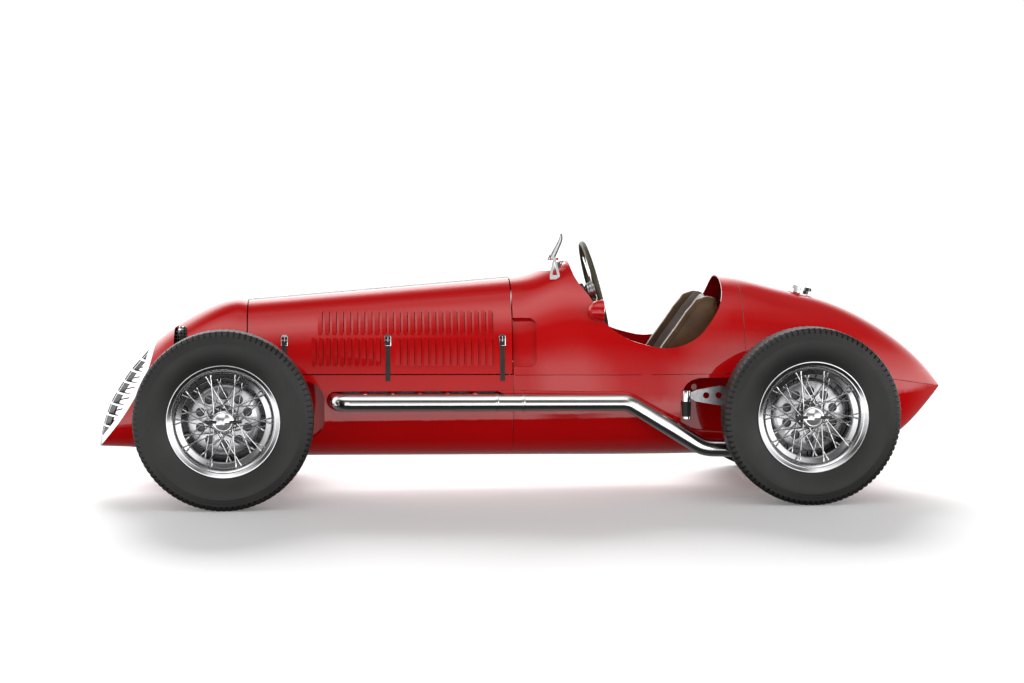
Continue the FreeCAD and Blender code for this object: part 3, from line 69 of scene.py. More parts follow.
class Shader:
    """A material with one main shader and short calls for the textures that feed it."""

    def __init__(self, name, **sockets):
        self.material = bpy.data.materials.new(name)
        self.material.use_nodes = True
        self.tree = self.material.node_tree
        self.main = self.tree.nodes["Principled BSDF"]
        self.place = self.add("ShaderNodeTexCoord").outputs["Object"]
        for socket, value in sockets.items():
            self.main.inputs[socket.replace("_", " ")].default_value = value

    def add(self, kind, **settings):
        node = self.tree.nodes.new(kind)
        for key, value in settings.items():
            setattr(node, key, value)
        return node

    def join(self, start, end):
        self.tree.links.new(start, end)

    def stretched(self, stretch):
        """The object's coordinates, scaled along each axis where a stretch is given."""
        if stretch is None:
            return self.place
        node = self.add("ShaderNodeMapping")
        node.inputs["Scale"].default_value = stretch
        self.join(self.place, node.inputs["Vector"])
        return node.outputs["Vector"]

    def noise(self, scale, detail=3, stretch=None):
        node = self.add("ShaderNodeTexNoise")
        node.inputs["Scale"].default_value = scale
        node.inputs["Detail"].default_value = detail
        self.join(self.stretched(stretch), node.inputs["Vector"])
        return node.outputs["Fac"]

    def cells(self, scale, feature="F1", stretch=None):
        node = self.add("ShaderNodeTexVoronoi", feature=feature)
        node.inputs["Scale"].default_value = scale
        self.join(self.stretched(stretch), node.inputs["Vector"])
        return node.outputs["Distance"]

    def colour(self, factor, stops):
        self.join(colour_ramp(self.tree, factor, stops), self.main.inputs["Base Color"])

    def spread(self, factor, low, high):
        """Roughness between two values."""
        node = self.add("ShaderNodeMapRange")
        node.inputs["To Min"].default_value = low
        node.inputs["To Max"].default_value = high
        self.join(factor, node.inputs["Value"])
        self.join(node.outputs["Result"], self.main.inputs["Roughness"])

    def bump(self, factor, strength, distance, under=None):
        """A fine relief, on top of another one where that is given."""
        node = self.add("ShaderNodeBump")
        node.inputs["Strength"].default_value = strength
        node.inputs["Distance"].default_value = distance
        self.join(factor, node.inputs["Height"])
        if under is not None:
            self.join(under, node.inputs["Normal"])
        self.join(node.outputs["Normal"], self.main.inputs["Normal"])
        return node.outputs["Normal"]


def painted(name, low, high, roughness=0.3, coat=1.0):
    """Enamel: a deep colour with faint orange peel under a clear coat."""
    shader = Shader(name, Specular_IOR_Level=0.0, Coat_Weight=coat, Coat_Roughness=0.03, Coat_IOR=1.5)
    shader.colour(shader.noise(scale=3.0), [(0.3, low), (0.7, high)])
    shader.spread(shader.noise(scale=40.0), roughness - 0.05, roughness + 0.05)
    shader.bump(shader.noise(scale=350.0), strength=0.02, distance=0.001)
    return shader.material


def metal(name, low, high, roughness, grain, stretch=None, depth=0.0002, metallic=1.0):
    """Bare metal whose brightness varies with its grain, and its polish more slowly."""
    shader = Shader(name, Metallic=metallic)
    texture = shader.noise(grain, detail=4, stretch=stretch)
    shader.colour(texture, [(0.35, low), (0.65, high)])
    polish = shader.noise(grain * 0.4, detail=2, stretch=stretch)
    shader.spread(polish, roughness * 0.8, roughness * 1.2)
    shader.bump(texture, strength=0.15, distance=depth)
    return shader.material


def shade_painted_metal(name, front, walls, roughness):
    """Metal with painted light: coloured bright where it faces forwards and painted darker, as shade, on walls and
    undersides.
    """
    shader = Shader(name, Metallic=1.0)
    split = shader.add("ShaderNodeSeparateXYZ")
    shader.join(shader.place.node.outputs["Normal"], split.inputs["Vector"])
    lift = shader.add("ShaderNodeMapRange")
    lift.inputs["From Min"].default_value = -0.35
    lift.inputs["From Max"].default_value = -0.15
    shader.join(split.outputs["Z"], lift.inputs["Value"])
    facing = shader.add("ShaderNodeMath", operation="MULTIPLY")
    shader.join(split.outputs["X"], facing.inputs[0])
    shader.join(lift.outputs["Result"], facing.inputs[1])
    # Painted highlight on forward faces and painted shade on walls and undersides, chosen by the normal
    shader.colour(facing.outputs["Value"], [(0.20, walls), (0.32, front)])
    grain = shader.noise(scale=30.0, detail=4)
    shader.spread(grain, roughness * 0.8, roughness * 1.2)
    shader.bump(grain, strength=0.1, distance=0.0002)
    return shader.material


def rubber(name):
    shader = Shader(name)
    shader.colour(shader.noise(scale=9.0), [(0.35, (0.010, 0.009, 0.0085)), (0.7, (0.015, 0.0135, 0.0125))])
    shader.spread(shader.noise(scale=70.0), 0.46, 0.58)
    shader.bump(shader.noise(scale=900.0), strength=0.2, distance=0.0004)
    return shader.material


def leather(name, low, high, roughness=0.42):
    """Hide: cells of grain, creases and a slow change of tone."""
    shader = Shader(name, Specular_IOR_Level=0.25, Coat_Weight=0.05, Coat_Roughness=0.35)
    shader.colour(shader.noise(scale=14.0, detail=5), [(0.3, low), (0.7, high)])
    shader.spread(shader.noise(scale=30.0), roughness - 0.06, roughness + 0.08)
    creases = shader.bump(shader.noise(scale=60.0, detail=6), strength=0.15, distance=0.002)
    shader.bump(shader.cells(scale=420.0), strength=0.35, distance=0.0006, under=creases)
    return shader.material


def clear_glass(name):
    shader = Shader(name, Base_Color=(0.97, 0.99, 0.98, 1), Transmission_Weight=1.0, IOR=1.1)
    shader.spread(shader.noise(scale=25.0), 0.0, 0.03)
    return shader.material


def shaded_honeycomb(name):
    """A radiator's core: cells painted darker as the shade in their openings, with brighter walls between them."""
    shader = Shader(name, Metallic=0.8)
    walls = shader.cells(scale=110.0, feature="DISTANCE_TO_EDGE", stretch=(0.02, 1, 1))
    # Painted shade: the cells are coloured darker than the walls, as their openings would be
    shader.colour(walls, [(0.03, (0.05,) * 3), (0.12, (0.004,) * 3)])
    shader.spread(shader.noise(scale=50.0), 0.5, 0.7)
    shader.bump(walls, strength=0.6, distance=0.002)
    return shader.material


RED = painted("red_enamel", (0.49, 0.002, 0.003), (0.52, 0.003, 0.004))
# Dark panel joints; the same colour also serves as painted shade in the louvres' mouths
JOINT_SHADE = painted("joint_shade", (0.05, 0.0015, 0.0015), (0.07, 0.002, 0.002), 0.5)
CHROME = metal("chrome", (0.80, 0.80, 0.81), (0.90, 0.90, 0.91), 0.10, 6.0, depth=0.00005)
# Chrome darkened as painted shade
SHADED_CHROME = metal("shaded_chrome", (0.10, 0.10, 0.10), (0.16, 0.16, 0.16), 0.12, 6.0, depth=0.00005)
KNOCK_OFF_METAL = metal("knock_off_chrome", (0.70, 0.70, 0.71), (0.80, 0.80, 0.81), 0.14, 6.0, depth=0.00005,
                        metallic=0.75)
RIM_METAL = metal("polished_rim", (0.50, 0.50, 0.51), (0.60, 0.60, 0.61), 0.20, 18.0, depth=0.00002)
SPOKE_METAL = metal("spoke_steel", (0.55, 0.55, 0.55), (0.70, 0.70, 0.70), 0.22, 40.0)
# The grille's bars, with a painted highlight on their fronts and painted shade on walls and undersides
GRILLE_METAL_PAINTED_SHADE = shade_painted_metal("grille_metal_painted_shade", (0.60, 0.60, 0.61), (0.16, 0.16, 0.16), 0.24)
EXHAUST_METAL = metal("exhaust_steel", (0.62, 0.61, 0.60), (0.72, 0.71, 0.70), 0.14, 24.0, (0.3, 4, 4), depth=0.00005)
CAST_METAL = metal("cast_alloy", (0.50, 0.50, 0.51), (0.62, 0.62, 0.63), 0.30, 120.0, depth=0.0004)
PLATE_METAL = metal("arm_plate", (0.30, 0.30, 0.31), (0.40, 0.40, 0.41), 0.35, 80.0)
DRUM_METAL = metal("drum_alloy", (0.42, 0.42, 0.43), (0.50, 0.50, 0.51), 0.27, 30.0, depth=0.00004)
# Dark steel, also used for the painted shade behind the drums' holes
DARK_STEEL_AND_SHADE = metal("dark_steel_and_painted_shade", (0.06, 0.06, 0.065), (0.10, 0.10, 0.105), 0.38, 60.0)
# Black enamel, also used for painted shade behind the drums and a painted dark reflection on the knock-off ears
BLACK_PAINT_AND_SHADE = painted("black_enamel_and_painted_shade", (0.006, 0.006, 0.007), (0.012, 0.012, 0.012), 0.4)
VENT_BLACK = painted("vent_black", (0.010, 0.010, 0.011), (0.016, 0.016, 0.017), 0.5, coat=0.15)
TYRE_RUBBER = rubber("tyre_rubber")
BLACK_RUBBER = rubber("damper_rubber")
SEAT_LEATHER = leather("seat_leather", (0.060, 0.030, 0.010), (0.105, 0.055, 0.022))
PANEL_LEATHER = leather("panel_leather", (0.150, 0.125, 0.110), (0.210, 0.180, 0.160))
SEAM_LEATHER = leather("seam_leather", (0.040, 0.025, 0.014), (0.060, 0.038, 0.022), 0.5)
STRAP_LEATHER = leather("strap_leather", (0.022, 0.020, 0.019), (0.035, 0.032, 0.030), 0.5)
HINGE_METAL = metal("hinge_metal", (0.55, 0.55, 0.56), (0.70, 0.70, 0.71), 0.25, 60.0)
MIRROR_GLASS = metal("mirror_glass", (0.80, 0.82, 0.84), (0.86, 0.87, 0.88), 0.02, 3.0, depth=0.00001)
DIAL_MARK = painted("dial_mark", (0.75, 0.74, 0.70), (0.82, 0.81, 0.77), 0.4)
GLASS = clear_glass("screen_glass")
CORE = shaded_honeycomb("radiator_core")
RIM_GRIP = leather("steering_rim_grip", (0.040, 0.034, 0.018), (0.070, 0.060, 0.034), 0.35)

FINISHES = [
    (RED, "nose_cowl bonnet_left bonnet_right lower_body_front cockpit_body lower_body_rear tail_body mirrors"),
    (CHROME, "bonnet_hinge windscreen_frame filler_neck filler_lid"),
    (GRILLE_METAL_PAINTED_SHADE, "grille"),
    (VENT_BLACK, "nose_vents"),
    (CORE, "radiator"),
    (EXHAUST_METAL, "exhaust"),
    (BLACK_PAINT_AND_SHADE, "chassis_frame bulkheads dashboard steering_column"),
    (DARK_STEEL_AND_SHADE, "engine_block front_arms front_spring rear_axle rear_dampers knuckle_left knuckle_right track_rod"),
    (PLATE_METAL, "rear_arms"),
    (SEAT_LEATHER, "seat"),
    (RIM_GRIP, "steering_wheel"),
    (GLASS, "windscreen_glass"),
    (STRAP_LEATHER, "straps_left straps_right"),
]
for finish, kind in ((RIM_METAL, "wheel_"), (TYRE_RUBBER, "tyre_"), (CAST_METAL, "drum_"), (CHROME, "knock_off_")):
    FINISHES.append((finish, " ".join(kind + corner for corner in CORNERS)))
for finish, names in FINISHES:
    for name in names.split():
        mesh = nodes[name].data
        mesh.materials.clear()
        mesh.materials.append(finish)

# Mesh building


def smooth(mesh, sharp_angle):
    """Smooth shading, but for edges that turn by more than an angle in degrees."""
    mesh.polygons.foreach_set("use_smooth", [True] * len(mesh.polygons))
    mesh.set_sharp_from_angle(angle=math.radians(sharp_angle))


def scaled_profile(profile):
    return [(along * MM, radius * MM) for along, radius in profile]


def even_turns(count):
    """Angles that share out a full turn evenly."""
    return [2 * math.pi * step / count for step in range(count)]


def ring_point(radius, along, angle):
    """A point round the local Y axis."""
    return Vector((radius * math.cos(angle), along, radius * math.sin(angle)))


def along_line(line, place):
    """The second value at a place on a line through points, and beyond its end the last one."""
    for (first, low), (last, high) in zip(line, line[1:]):
        if place <= last:
            return low + (high - low) * (place - first) / (last - first)
    return line[-1][1]


class Piece:
    """A mesh made of several closed parts, each with its own finish."""

    def __init__(self, name):
        self.name = name
        self.shape = bmesh.new()
        self.finishes = []

    def skin(self, rows, finish, round_rows=True):
        """Faces between rings of points; the ends of an open row of rings are closed by flat caps."""
        if finish not in self.finishes:
            self.finishes.append(finish)
        index = self.finishes.index(finish)
        made = [[self.shape.verts.new(point) for point in row] for row in rows]
        pairs = list(zip(made, made[1:]))
        if round_rows:
            pairs.append((made[-1], made[0]))
        for row, next_row in pairs:
            for number in range(len(row)):
                following = (number + 1) % len(row)
                face = self.shape.faces.new((row[number], row[following], next_row[following], next_row[number]))
                face.material_index = index
        if not round_rows:
            for cap in (made[0][::-1], made[-1]):
                self.shape.faces.new(cap).material_index = index

    def lathe(self, profile, finish, steps, place=Matrix.Identity(4)):
        """A closed (along, radius) profile in millimetres, off the local Y axis and turned about it."""
        self.skin([[place @ ring_point(radius, along, angle) for along, radius in scaled_profile(profile)]
                   for angle in even_turns(steps)], finish)

    def tube(self, points, radius, finish, sides=8, closed=False):
        """A round bar along points, with one radius or a list of radii, one for each point."""
        count = len(points)
        radii = radius if isinstance(radius, list) else [radius] * count
        rows = []
        normal = None
        for number, point in enumerate(points):
            before = points[number - 1] if closed or number else point
            after = points[(number + 1) % count] if closed or number < count - 1 else point
            along = (after - before).normalized()
            if normal is None:
                normal = along.orthogonal().normalized()
            normal = (normal - along * normal.dot(along)).normalized()
            side = along.cross(normal)
            rows.append([point + (normal * math.cos(angle) + side * math.sin(angle)) * radii[number]
                         for angle in even_turns(sides)])
        self.skin(rows, finish, round_rows=closed)

    def prism(self, outline, depth, finish):
        """A flat outline carried along a vector."""
        self.skin([outline, [point + Vector(depth) for point in outline]], finish, round_rows=False)

    def mesh(self, sharp_angle=35):
        bmesh.ops.recalc_face_normals(self.shape, faces=self.shape.faces)
        mesh = bpy.data.meshes.new(self.name)
        self.shape.to_mesh(mesh)
        self.shape.free()
        for finish in self.finishes:
            mesh.materials.append(finish)
        smooth(mesh, sharp_angle)
        return mesh

    def put(self, body, replaced=(), place=None):
        return place_piece(self.name, self.mesh(), body, replaced, place)


def place_piece(name, mesh, body, replaced=(), place=None):
    """An object for a mesh, which rides on a body and may stand for some CAD nodes."""
    holder = bpy.data.objects.new(name, mesh)
    if place is not None:
        holder.matrix_world = place
    bpy.context.scene.collection.objects.link(holder)
    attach(holder, body)
    if replaced:
        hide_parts(*replaced)
    return holder


def axle_place(corner):
    """The middle of a wheel, with local Y outboard."""
    low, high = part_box("tyre_" + corner)
    middle = (Vector(low) + Vector(high)) / 2
    turn = Matrix.Rotation(math.pi, 4, "Z") if middle.y < 0 else Matrix.Identity(4)
    return Matrix.Translation(middle) @ turn


# Tyres: smooth walls with fine rings, five zigzag grooves and notched shoulders

TREAD_PERIODS = 95
TREAD_PHASES = (0.0, 0.25, 0.5, 0.56, 0.60, 0.86, 0.90)
NOTCH_PHASES = (0.60, 0.86)
NOTCH_DEPTH = 8 * MM
NOTCH_ACROSS = 0.6
ZIGZAG = 4 * MM
GROOVE_HALF = 2.2 * MM
GROOVE_FLOOR = 0.8
GROOVE_DEPTH = 6 * MM
GROOVES = (-44 * MM, -22 * MM, 0.0, 22 * MM, 44 * MM)
TREAD_RADIUS = 380 * MM
CROWN_DROP = 0.012
SIDE_WALL = [(58, 217), (59.5, 230), (64, 241), (70, 254), (77, 274), (82, 295), (83.9, 312), (83.7, 326),
             (82.6, 336), (82.0, 337), (82.0, 339), (81.6, 341), (81.0, 345), (80.3, 346), (80.3, 348), (79.6, 350)]
SHOULDER = [(78.5, 357), (75.5, 366), (68.5, 375), (62.0, 379)]


def zigzag(phase):
    """How far the grooves have gone to one side at a phase of their period."""
    return ZIGZAG * (4 * abs(phase - 0.5) - 1)


def tread_row(angle, phase):
    """One section of the tyre, from the right bead over the tread to the left bead."""
    notch = NOTCH_DEPTH if NOTCH_PHASES[0] <= phase <= NOTCH_PHASES[1] else 0.0
    half = scaled_profile(SIDE_WALL + SHOULDER[:1])
    for across, radius in scaled_profile(SHOULDER[1:]):
        half.append((across - notch * NOTCH_ACROSS, radius - notch))
    section = [(-across, radius) for across, radius in half]
    for groove in GROOVES:
        middle = groove + zigzag(phase)
        crown = TREAD_RADIUS - abs(middle) * CROWN_DROP
        floor_half = GROOVE_HALF * GROOVE_FLOOR
        section += [(middle - GROOVE_HALF, crown), (middle - floor_half, crown - GROOVE_DEPTH),
                    (middle + floor_half, crown - GROOVE_DEPTH), (middle + GROOVE_HALF, crown)]
    section += half[::-1]
    return [ring_point(radius, across, angle) for across, radius in section]


def tyre_mesh():
    piece = Piece("road_tyre")
    rows = []
    for period in range(TREAD_PERIODS):
        for phase in TREAD_PHASES:
            rows.append(tread_row(2 * math.pi * (period + phase) / TREAD_PERIODS, phase))
    piece.skin(rows, TYRE_RUBBER)
    return piece.mesh(sharp_angle=40)


# Wire wheels: a stepped rim, two rows of crossed spokes with nipples, the hub and its nuts

RIM_PROFILE = [(67.6, 234), (67.4, 237.4), (65.4, 238.5), (63.2, 237), (62.0, 229), (59.0, 217), (43.5, 216.2),
               (36, 205.5), (31, 205), (24.5, 182.5), (-37.5, 182.5), (-47.5, 216), (-59, 217), (-62, 229),
               (-63.2, 237), (-65.4, 238.5), (-67.4, 237.4), (-67.6, 234), (-65.8, 228), (-63, 217), (-60, 212.5),
               (-52, 211), (-43.5, 180), (-41, 178), (26, 178), (28.5, 179), (30, 182), (33, 198), (34, 200.3),
               (36, 201.3), (39.5, 202), (44, 204), (49, 207.5), (54, 212.5), (58.4, 218), (62, 224.5), (65.2, 230.5)]
HUB_PROFILE = [(-22, 24.5), (-22, 60), (-20, 62), (-13, 62), (-11, 60), (-9, 44), (-4, 37), (36, 36), (42, 39),
               (44, 42), (52, 42), (54, 39), (57.5, 37), (57.5, 24.5)]
OUTER_SPOKES = dict(hub_radius=38, hub_at=47, rim_radius=201, rim_at=35, offset=0, lean=60)
INNER_SPOKES = dict(hub_radius=56, hub_at=-14, rim_radius=178, rim_at=2, offset=12, lean=48)
SPOKE_PAIRS = 10
SPOKE_RADIUS = 2.4 * MM
SPOKE_OFFSET = 1.2
NIPPLE_RADIUS = 3.6 * MM
NIPPLE_LENGTH = 15 * MM
NIPPLE_TIP = 3 * MM
RIM_SPREAD = math.radians(3.2)
HUB_NUTS = 12
NUT_CIRCLE = 52 * MM
NUT_FOOT = -11 * MM
NUT_RADIUS = 6.5 * MM
NUT_LEVELS = [(0, 1), (6, 1), (9, 0.85), (11, 0.5), (11.5, 0.2)]


def add_spokes(piece, hub_radius, hub_at, rim_radius, rim_at, offset, lean):
    """Crossed pairs from one flange of the hub to the rim."""
    for pair in range(SPOKE_PAIRS):
        middle = math.radians(offset + pair * 360 / SPOKE_PAIRS)
        for side in (-1, 1):
            ends = []
            for radius, at, angle in ((hub_radius, hub_at, middle - side * math.radians(lean)),
                                      (rim_radius, rim_at, middle + side * RIM_SPREAD)):
                ends.append(ring_point(radius * MM, at * MM + side * SPOKE_RADIUS * SPOKE_OFFSET, angle))
            along = (ends[0] - ends[1]).normalized()
            piece.tube(ends, SPOKE_RADIUS, SPOKE_METAL)
            nipple = [ends[1], ends[1] + along * NIPPLE_LENGTH, ends[1] + along * (NIPPLE_LENGTH + NIPPLE_TIP)]
            piece.tube(nipple, [NIPPLE_RADIUS, NIPPLE_RADIUS, SPOKE_RADIUS], SPOKE_METAL)


def wheel_mesh():
    piece = Piece("wire_wheel")
    piece.lathe(RIM_PROFILE, RIM_METAL, steps=144)
    piece.lathe(HUB_PROFILE, DARK_STEEL_AND_SHADE, steps=64)
    add_spokes(piece, **OUTER_SPOKES)
    add_spokes(piece, **INNER_SPOKES)
    for angle in even_turns(HUB_NUTS):
        foot = ring_point(NUT_CIRCLE, NUT_FOOT, angle)
        piece.tube([foot + Vector((0, level * MM, 0)) for level, _ in NUT_LEVELS],
                   [NUT_RADIUS * share for _, share in NUT_LEVELS], CHROME, sides=10)
    return piece.mesh()


KNOCK_PROFILE = [(58, 3), (58, 44), (60, 46), (66, 46), (69, 44.5), (71.5, 41), (72.5, 37), (72.2, 35.5), (73, 34.5),
                 (76.5, 31), (80, 26.5), (83, 21.5), (85.4, 15.5), (87, 9), (87.6, 3)]
EAR_OUTLINE = [(20, 58), (40, 62), (60, 64), (76, 66), (79, 70), (78, 75), (70, 79), (56, 80), (40, 80), (20, 80)]
EAR_HALF = 6 * MM
EAR_LEVELS = ((-1, 0.86), (-0.6, 1.0), (0.6, 1.0), (1, 0.86))
EAR_ROOT = 30
EAR_MIDDLE = 70
EAR_TAPER = 0.06
KNOCK_CAP = [(84, 0.5), (84, 9), (87, 8), (87.8, 5), (87.9, 0.5)]


def ear_point(side, across, out, level, shrink):
    """A point of an ear, whose edges draw in towards its two flat faces."""
    reach = 1 if across < EAR_ROOT else shrink * EAR_TAPER + (1 - EAR_TAPER)
    return Vector((side * across * MM * reach, (out - EAR_MIDDLE) * MM * shrink + EAR_MIDDLE * MM, level * EAR_HALF))


def knock_off_mesh():
    """The dome that holds a wheel on, with a moulded ring and two ears."""
    piece = Piece("knock_off_nut")
    piece.lathe(KNOCK_PROFILE, KNOCK_OFF_METAL, steps=64)
    piece.lathe(KNOCK_CAP, KNOCK_OFF_METAL, steps=32)
    for side in (-1, 1):
        rows = [[ear_point(side, across, out, level, shrink) for across, out in EAR_OUTLINE]
                for level, shrink in EAR_LEVELS]
        # The chrome ears are coloured black: a painted dark reflection of the ground
        piece.skin(rows, BLACK_PAINT_AND_SHADE, round_rows=False)
    return piece.mesh()


DRUM_PROFILE = [(-22, 30), (-22, 64), (-22.4, 80), (-24, 100), (-27, 120), (-31, 138), (-36, 150), (-41, 156.5),
                (-45, 158), (-47, 158), (-48, 156), (-51, 156), (-52, 158), (-62, 158), (-62, 151), (-46, 150),
                (-38, 140), (-32, 120), (-29, 100), (-28, 30)]
DRUM_HOLES = 10
DRUM_HOLE_CIRCLE = 104 * MM
DRUM_HOLE_RADIUS = 19.5 * MM
CUTTER_FOOT = -60 * MM
CUTTER_LENGTH = 50 * MM
# Painted shade: dark rings that stand behind the drum's holes and behind the gap to the rim
HOLE_SHADE = [(-44, 40), (-44, 146), (-42, 146), (-42, 40)]
GAP_SHADE = [(-61, 150), (-61, 181), (-58, 182), (-58, 150)]


def drum_mesh():
    """A domed drum with a ring of holes cut through its face."""
    piece = Piece("brake_drum")
    piece.lathe(DRUM_PROFILE, DRUM_METAL, steps=120)
    body = bpy.data.objects.new("drum_body", piece.mesh())
    cutter_piece = Piece("drum_cutter")
    for number in range(DRUM_HOLES):
        angle = 2 * math.pi * (number + 0.5) / DRUM_HOLES
        foot = ring_point(DRUM_HOLE_CIRCLE, CUTTER_FOOT, angle)
        cutter_piece.tube([foot, foot + Vector((0, CUTTER_LENGTH, 0))], DRUM_HOLE_RADIUS, CAST_METAL, sides=28)
    cutter = bpy.data.objects.new("drum_cutter", cutter_piece.mesh())
    for part in (body, cutter):
        bpy.context.scene.collection.objects.link(part)
    cut = body.modifiers.new("holes", "BOOLEAN")
    cut.operation = "DIFFERENCE"
    cut.solver = "EXACT"
    cut.object = cutter
    bpy.context.view_layer.update()
    mesh = bpy.data.meshes.new_from_object(body.evaluated_get(bpy.context.evaluated_depsgraph_get()))
    for part in (body, cutter):
        bpy.data.objects.remove(part)
    smooth(mesh, sharp_angle=30)
    return mesh


def drum_shade_mesh():
    """Dark rings of painted shade behind the drum's holes and behind the gap between drum and rim."""
    piece = Piece("drum_back")
    piece.lathe(HOLE_SHADE, DARK_STEEL_AND_SHADE, steps=64)
    piece.lathe(GAP_SHADE, BLACK_PAINT_AND_SHADE, steps=64)
    return piece.mesh()


def add_wheels():
    """The same meshes at all four corners."""
    shapes = (
        ("road_tyre_", tyre_mesh(), "tyre_rubber", "tyre_"),
        ("wire_wheel_", wheel_mesh(), "wheel_alloy", "wheel_"),
        ("hub_nut_", knock_off_mesh(), "chrome", "knock_off_"),
        ("brake_drum_", drum_mesh(), "drum_iron", "drum_"),
        ("drum_back_", drum_shade_mesh(), "drum_iron", None),
    )
    for corner in CORNERS:
        for name, mesh, slot, stands_for in shapes:
            replaced = [stands_for + corner] if stands_for else ()
            place_piece(name + corner, mesh, "wheel_" + corner, replaced, axle_place(corner))


add_wheels()

# Small parts that follow the CAD surfaces

FRONT_AXLE = 1316
RAY_START = 1.5
JOINT_RADIUS = 1.1 * MM


def back(distance):
    """Frame X of a distance behind the front axle, given in millimetres."""
    return (FRONT_AXLE - distance) * MM


def node_tree(*names):
    """A search tree over some CAD nodes."""
    points = []
    faces = []
    for name in names:
        mesh = nodes[name].data
        start = len(points)
        points += [vertex.co.copy() for vertex in mesh.vertices]
        faces += [[start + index for index in face.vertices] for face in mesh.polygons]
    return BVHTree.FromPolygons(points, faces)


def mesh_tree(mesh):
    return BVHTree.FromPolygons([vertex.co for vertex in mesh.vertices], [face.vertices for face in mesh.polygons])


def side_point(tree, x, z, side):
    """The outermost point at a place in side view, and the surface's normal there."""
    place, normal, _, _ = tree.ray_cast(Vector((x, side * RAY_START, z)), Vector((0, -side, 0)))
    return place, normal


def around_point(tree, x, angle):
    """The outermost point in a direction from a line along the car's middle."""
    out = Vector((0, math.cos(angle), math.sin(angle)))
    place, _, _, _ = tree.ray_cast(Vector((x, 0, HOOP_HEIGHT)) + out * RAY_START, -out)
    return place


def skin_line(piece, points, radius, finish):
    """A thin line through those of the points that were found."""
    points = [point for point in points if point is not None]
    if len(points) > 2:
        piece.tube(points, radius, finish, sides=6)


TAIL_SEAM = 2257
HOOP_HEIGHT = 0.6
HOOP_ANGLES = range(-2, 183, 3)
BELT_LINE = ((85, 536), (1246, 534), (2257, 542), (2963, 492), (3206, 445))
BELT_PLACES = range(1248, 3180, 12)
LOWER_SEAM = 1246
LOWER_HEIGHTS = range(190, 534, 12)


def add_panel_joints():
    """Dark joints along the belt, down the lower body and round the tail."""
    lower_skin = node_tree("lower_body_front", "lower_body_rear")
    rear_skin = node_tree("cockpit_body", "tail_body", "lower_body_rear")
    joints = Piece("panel_joints")
    lines = []
    for side in (-1, 1):
        lines.append([side_point(rear_skin, back(distance), along_line(BELT_LINE, distance) * MM, side)[0]
                      for distance in BELT_PLACES])
        lines.append([side_point(lower_skin, back(LOWER_SEAM), height * MM, side)[0] for height in LOWER_HEIGHTS])
    lines.append([around_point(rear_skin, back(TAIL_SEAM), math.radians(angle)) for angle in HOOP_ANGLES])
    for line in lines:
        skin_line(joints, line, JOINT_RADIUS, JOINT_SHADE)
    joints.put("chassis")


add_panel_joints()

# The seat: two side cushions round a panelled back and base, all padded

CUSHIONS = {
    "seat_side_left": ([(1812, 342), (1826, 470), (1862, 590), (1915, 670), (1965, 738), (2012, 806), (2062, 862),
                        (2110, 876), (2150, 868), (2162, 830), (2164, 600), (2130, 342)], 184, 228, 9),
    "seat_back": ([(1998, 412), (2062, 520), (2098, 690), (2112, 850), (2124, 864), (2144, 862), (2152, 800),
                   (2158, 600), (2110, 400)], -166, 166, 12),
    "seat_base": ([(1818, 330), (1822, 368), (1860, 384), (1960, 356), (2010, 350), (2050, 330)], -166, 166, 14),
}
SIDE_OUTLINE, side_low, side_high, side_swell = CUSHIONS["seat_side_left"]
CUSHIONS["seat_side_right"] = (SIDE_OUTLINE, -side_high, -side_low, side_swell)
VOXEL = 6 * MM
CLOTH_FRAMES = 20
CLOTH_PRESSURE = 4.0
EDGE_BAND = 44
FRONT_EDGE = [(height, distance) for distance, height in SIDE_OUTLINE[:8]]
INNER_FACING = -0.5
SEAM_THREAD = 1.6 * MM
SEAM_EDGE = SIDE_OUTLINE[1:9]
SEAM_INSET = (22.1, 14.3)
BACK_SEAMS = (-110, -55, 0, 55, 110)
BACK_HEIGHTS = range(430, 850, 14)
BACK_START = 0.2


def settled_mesh(holder):
    """The mesh of an object with its modifiers worked in."""
    graph = bpy.context.evaluated_depsgraph_get()
    mesh = bpy.data.meshes.new_from_object(holder.evaluated_get(graph))
    holder.modifiers.clear()
    holder.data = mesh
    return mesh


def stuffed(shapes):
    """Blow up closed slabs as cloth, all in one run, and keep each within its own swell."""
    scene = bpy.context.scene
    for holder, _ in shapes:
        remesh = holder.modifiers.new("even_cells", "REMESH")
        remesh.mode = "VOXEL"
        remesh.voxel_size = VOXEL
        settled_mesh(holder)
    rest = [[vertex.co.copy() for vertex in holder.data.vertices] for holder, _ in shapes]
    for holder, _ in shapes:
        cloth = holder.modifiers.new("stuffing", "CLOTH")
        cloth.settings.use_pressure = True
        cloth.settings.uniform_pressure_force = CLOTH_PRESSURE
        cloth.settings.effector_weights.gravity = 0.0
    for number in range(1, CLOTH_FRAMES + 1):
        scene.frame_set(number)
    for (holder, swell), starts in zip(shapes, rest):
        mesh = settled_mesh(holder)
        for vertex, start in zip(mesh.vertices, starts):
            move = vertex.co - start
            if move.length > swell:
                vertex.co = start + move * (swell / move.length)
    scene.frame_set(1)
    for holder, _ in shapes:
        holder.modifiers.new("smooth", "SUBSURF").levels = 1
        mesh = settled_mesh(holder)
        mesh.polygons.foreach_set("use_smooth", [True] * len(mesh.polygons))


def line_inner_side(mesh, side):
    """Panel leather on the inner side of a side cushion, behind a band along its edge."""
    mesh.materials.append(PANEL_LEATHER)
    for face in mesh.polygons:
        depth = (FRONT_AXLE - face.center.x / MM) - along_line(FRONT_EDGE, face.center.z / MM)
        if face.normal.y * side < INNER_FACING and depth > EDGE_BAND:
            face.material_index = 1


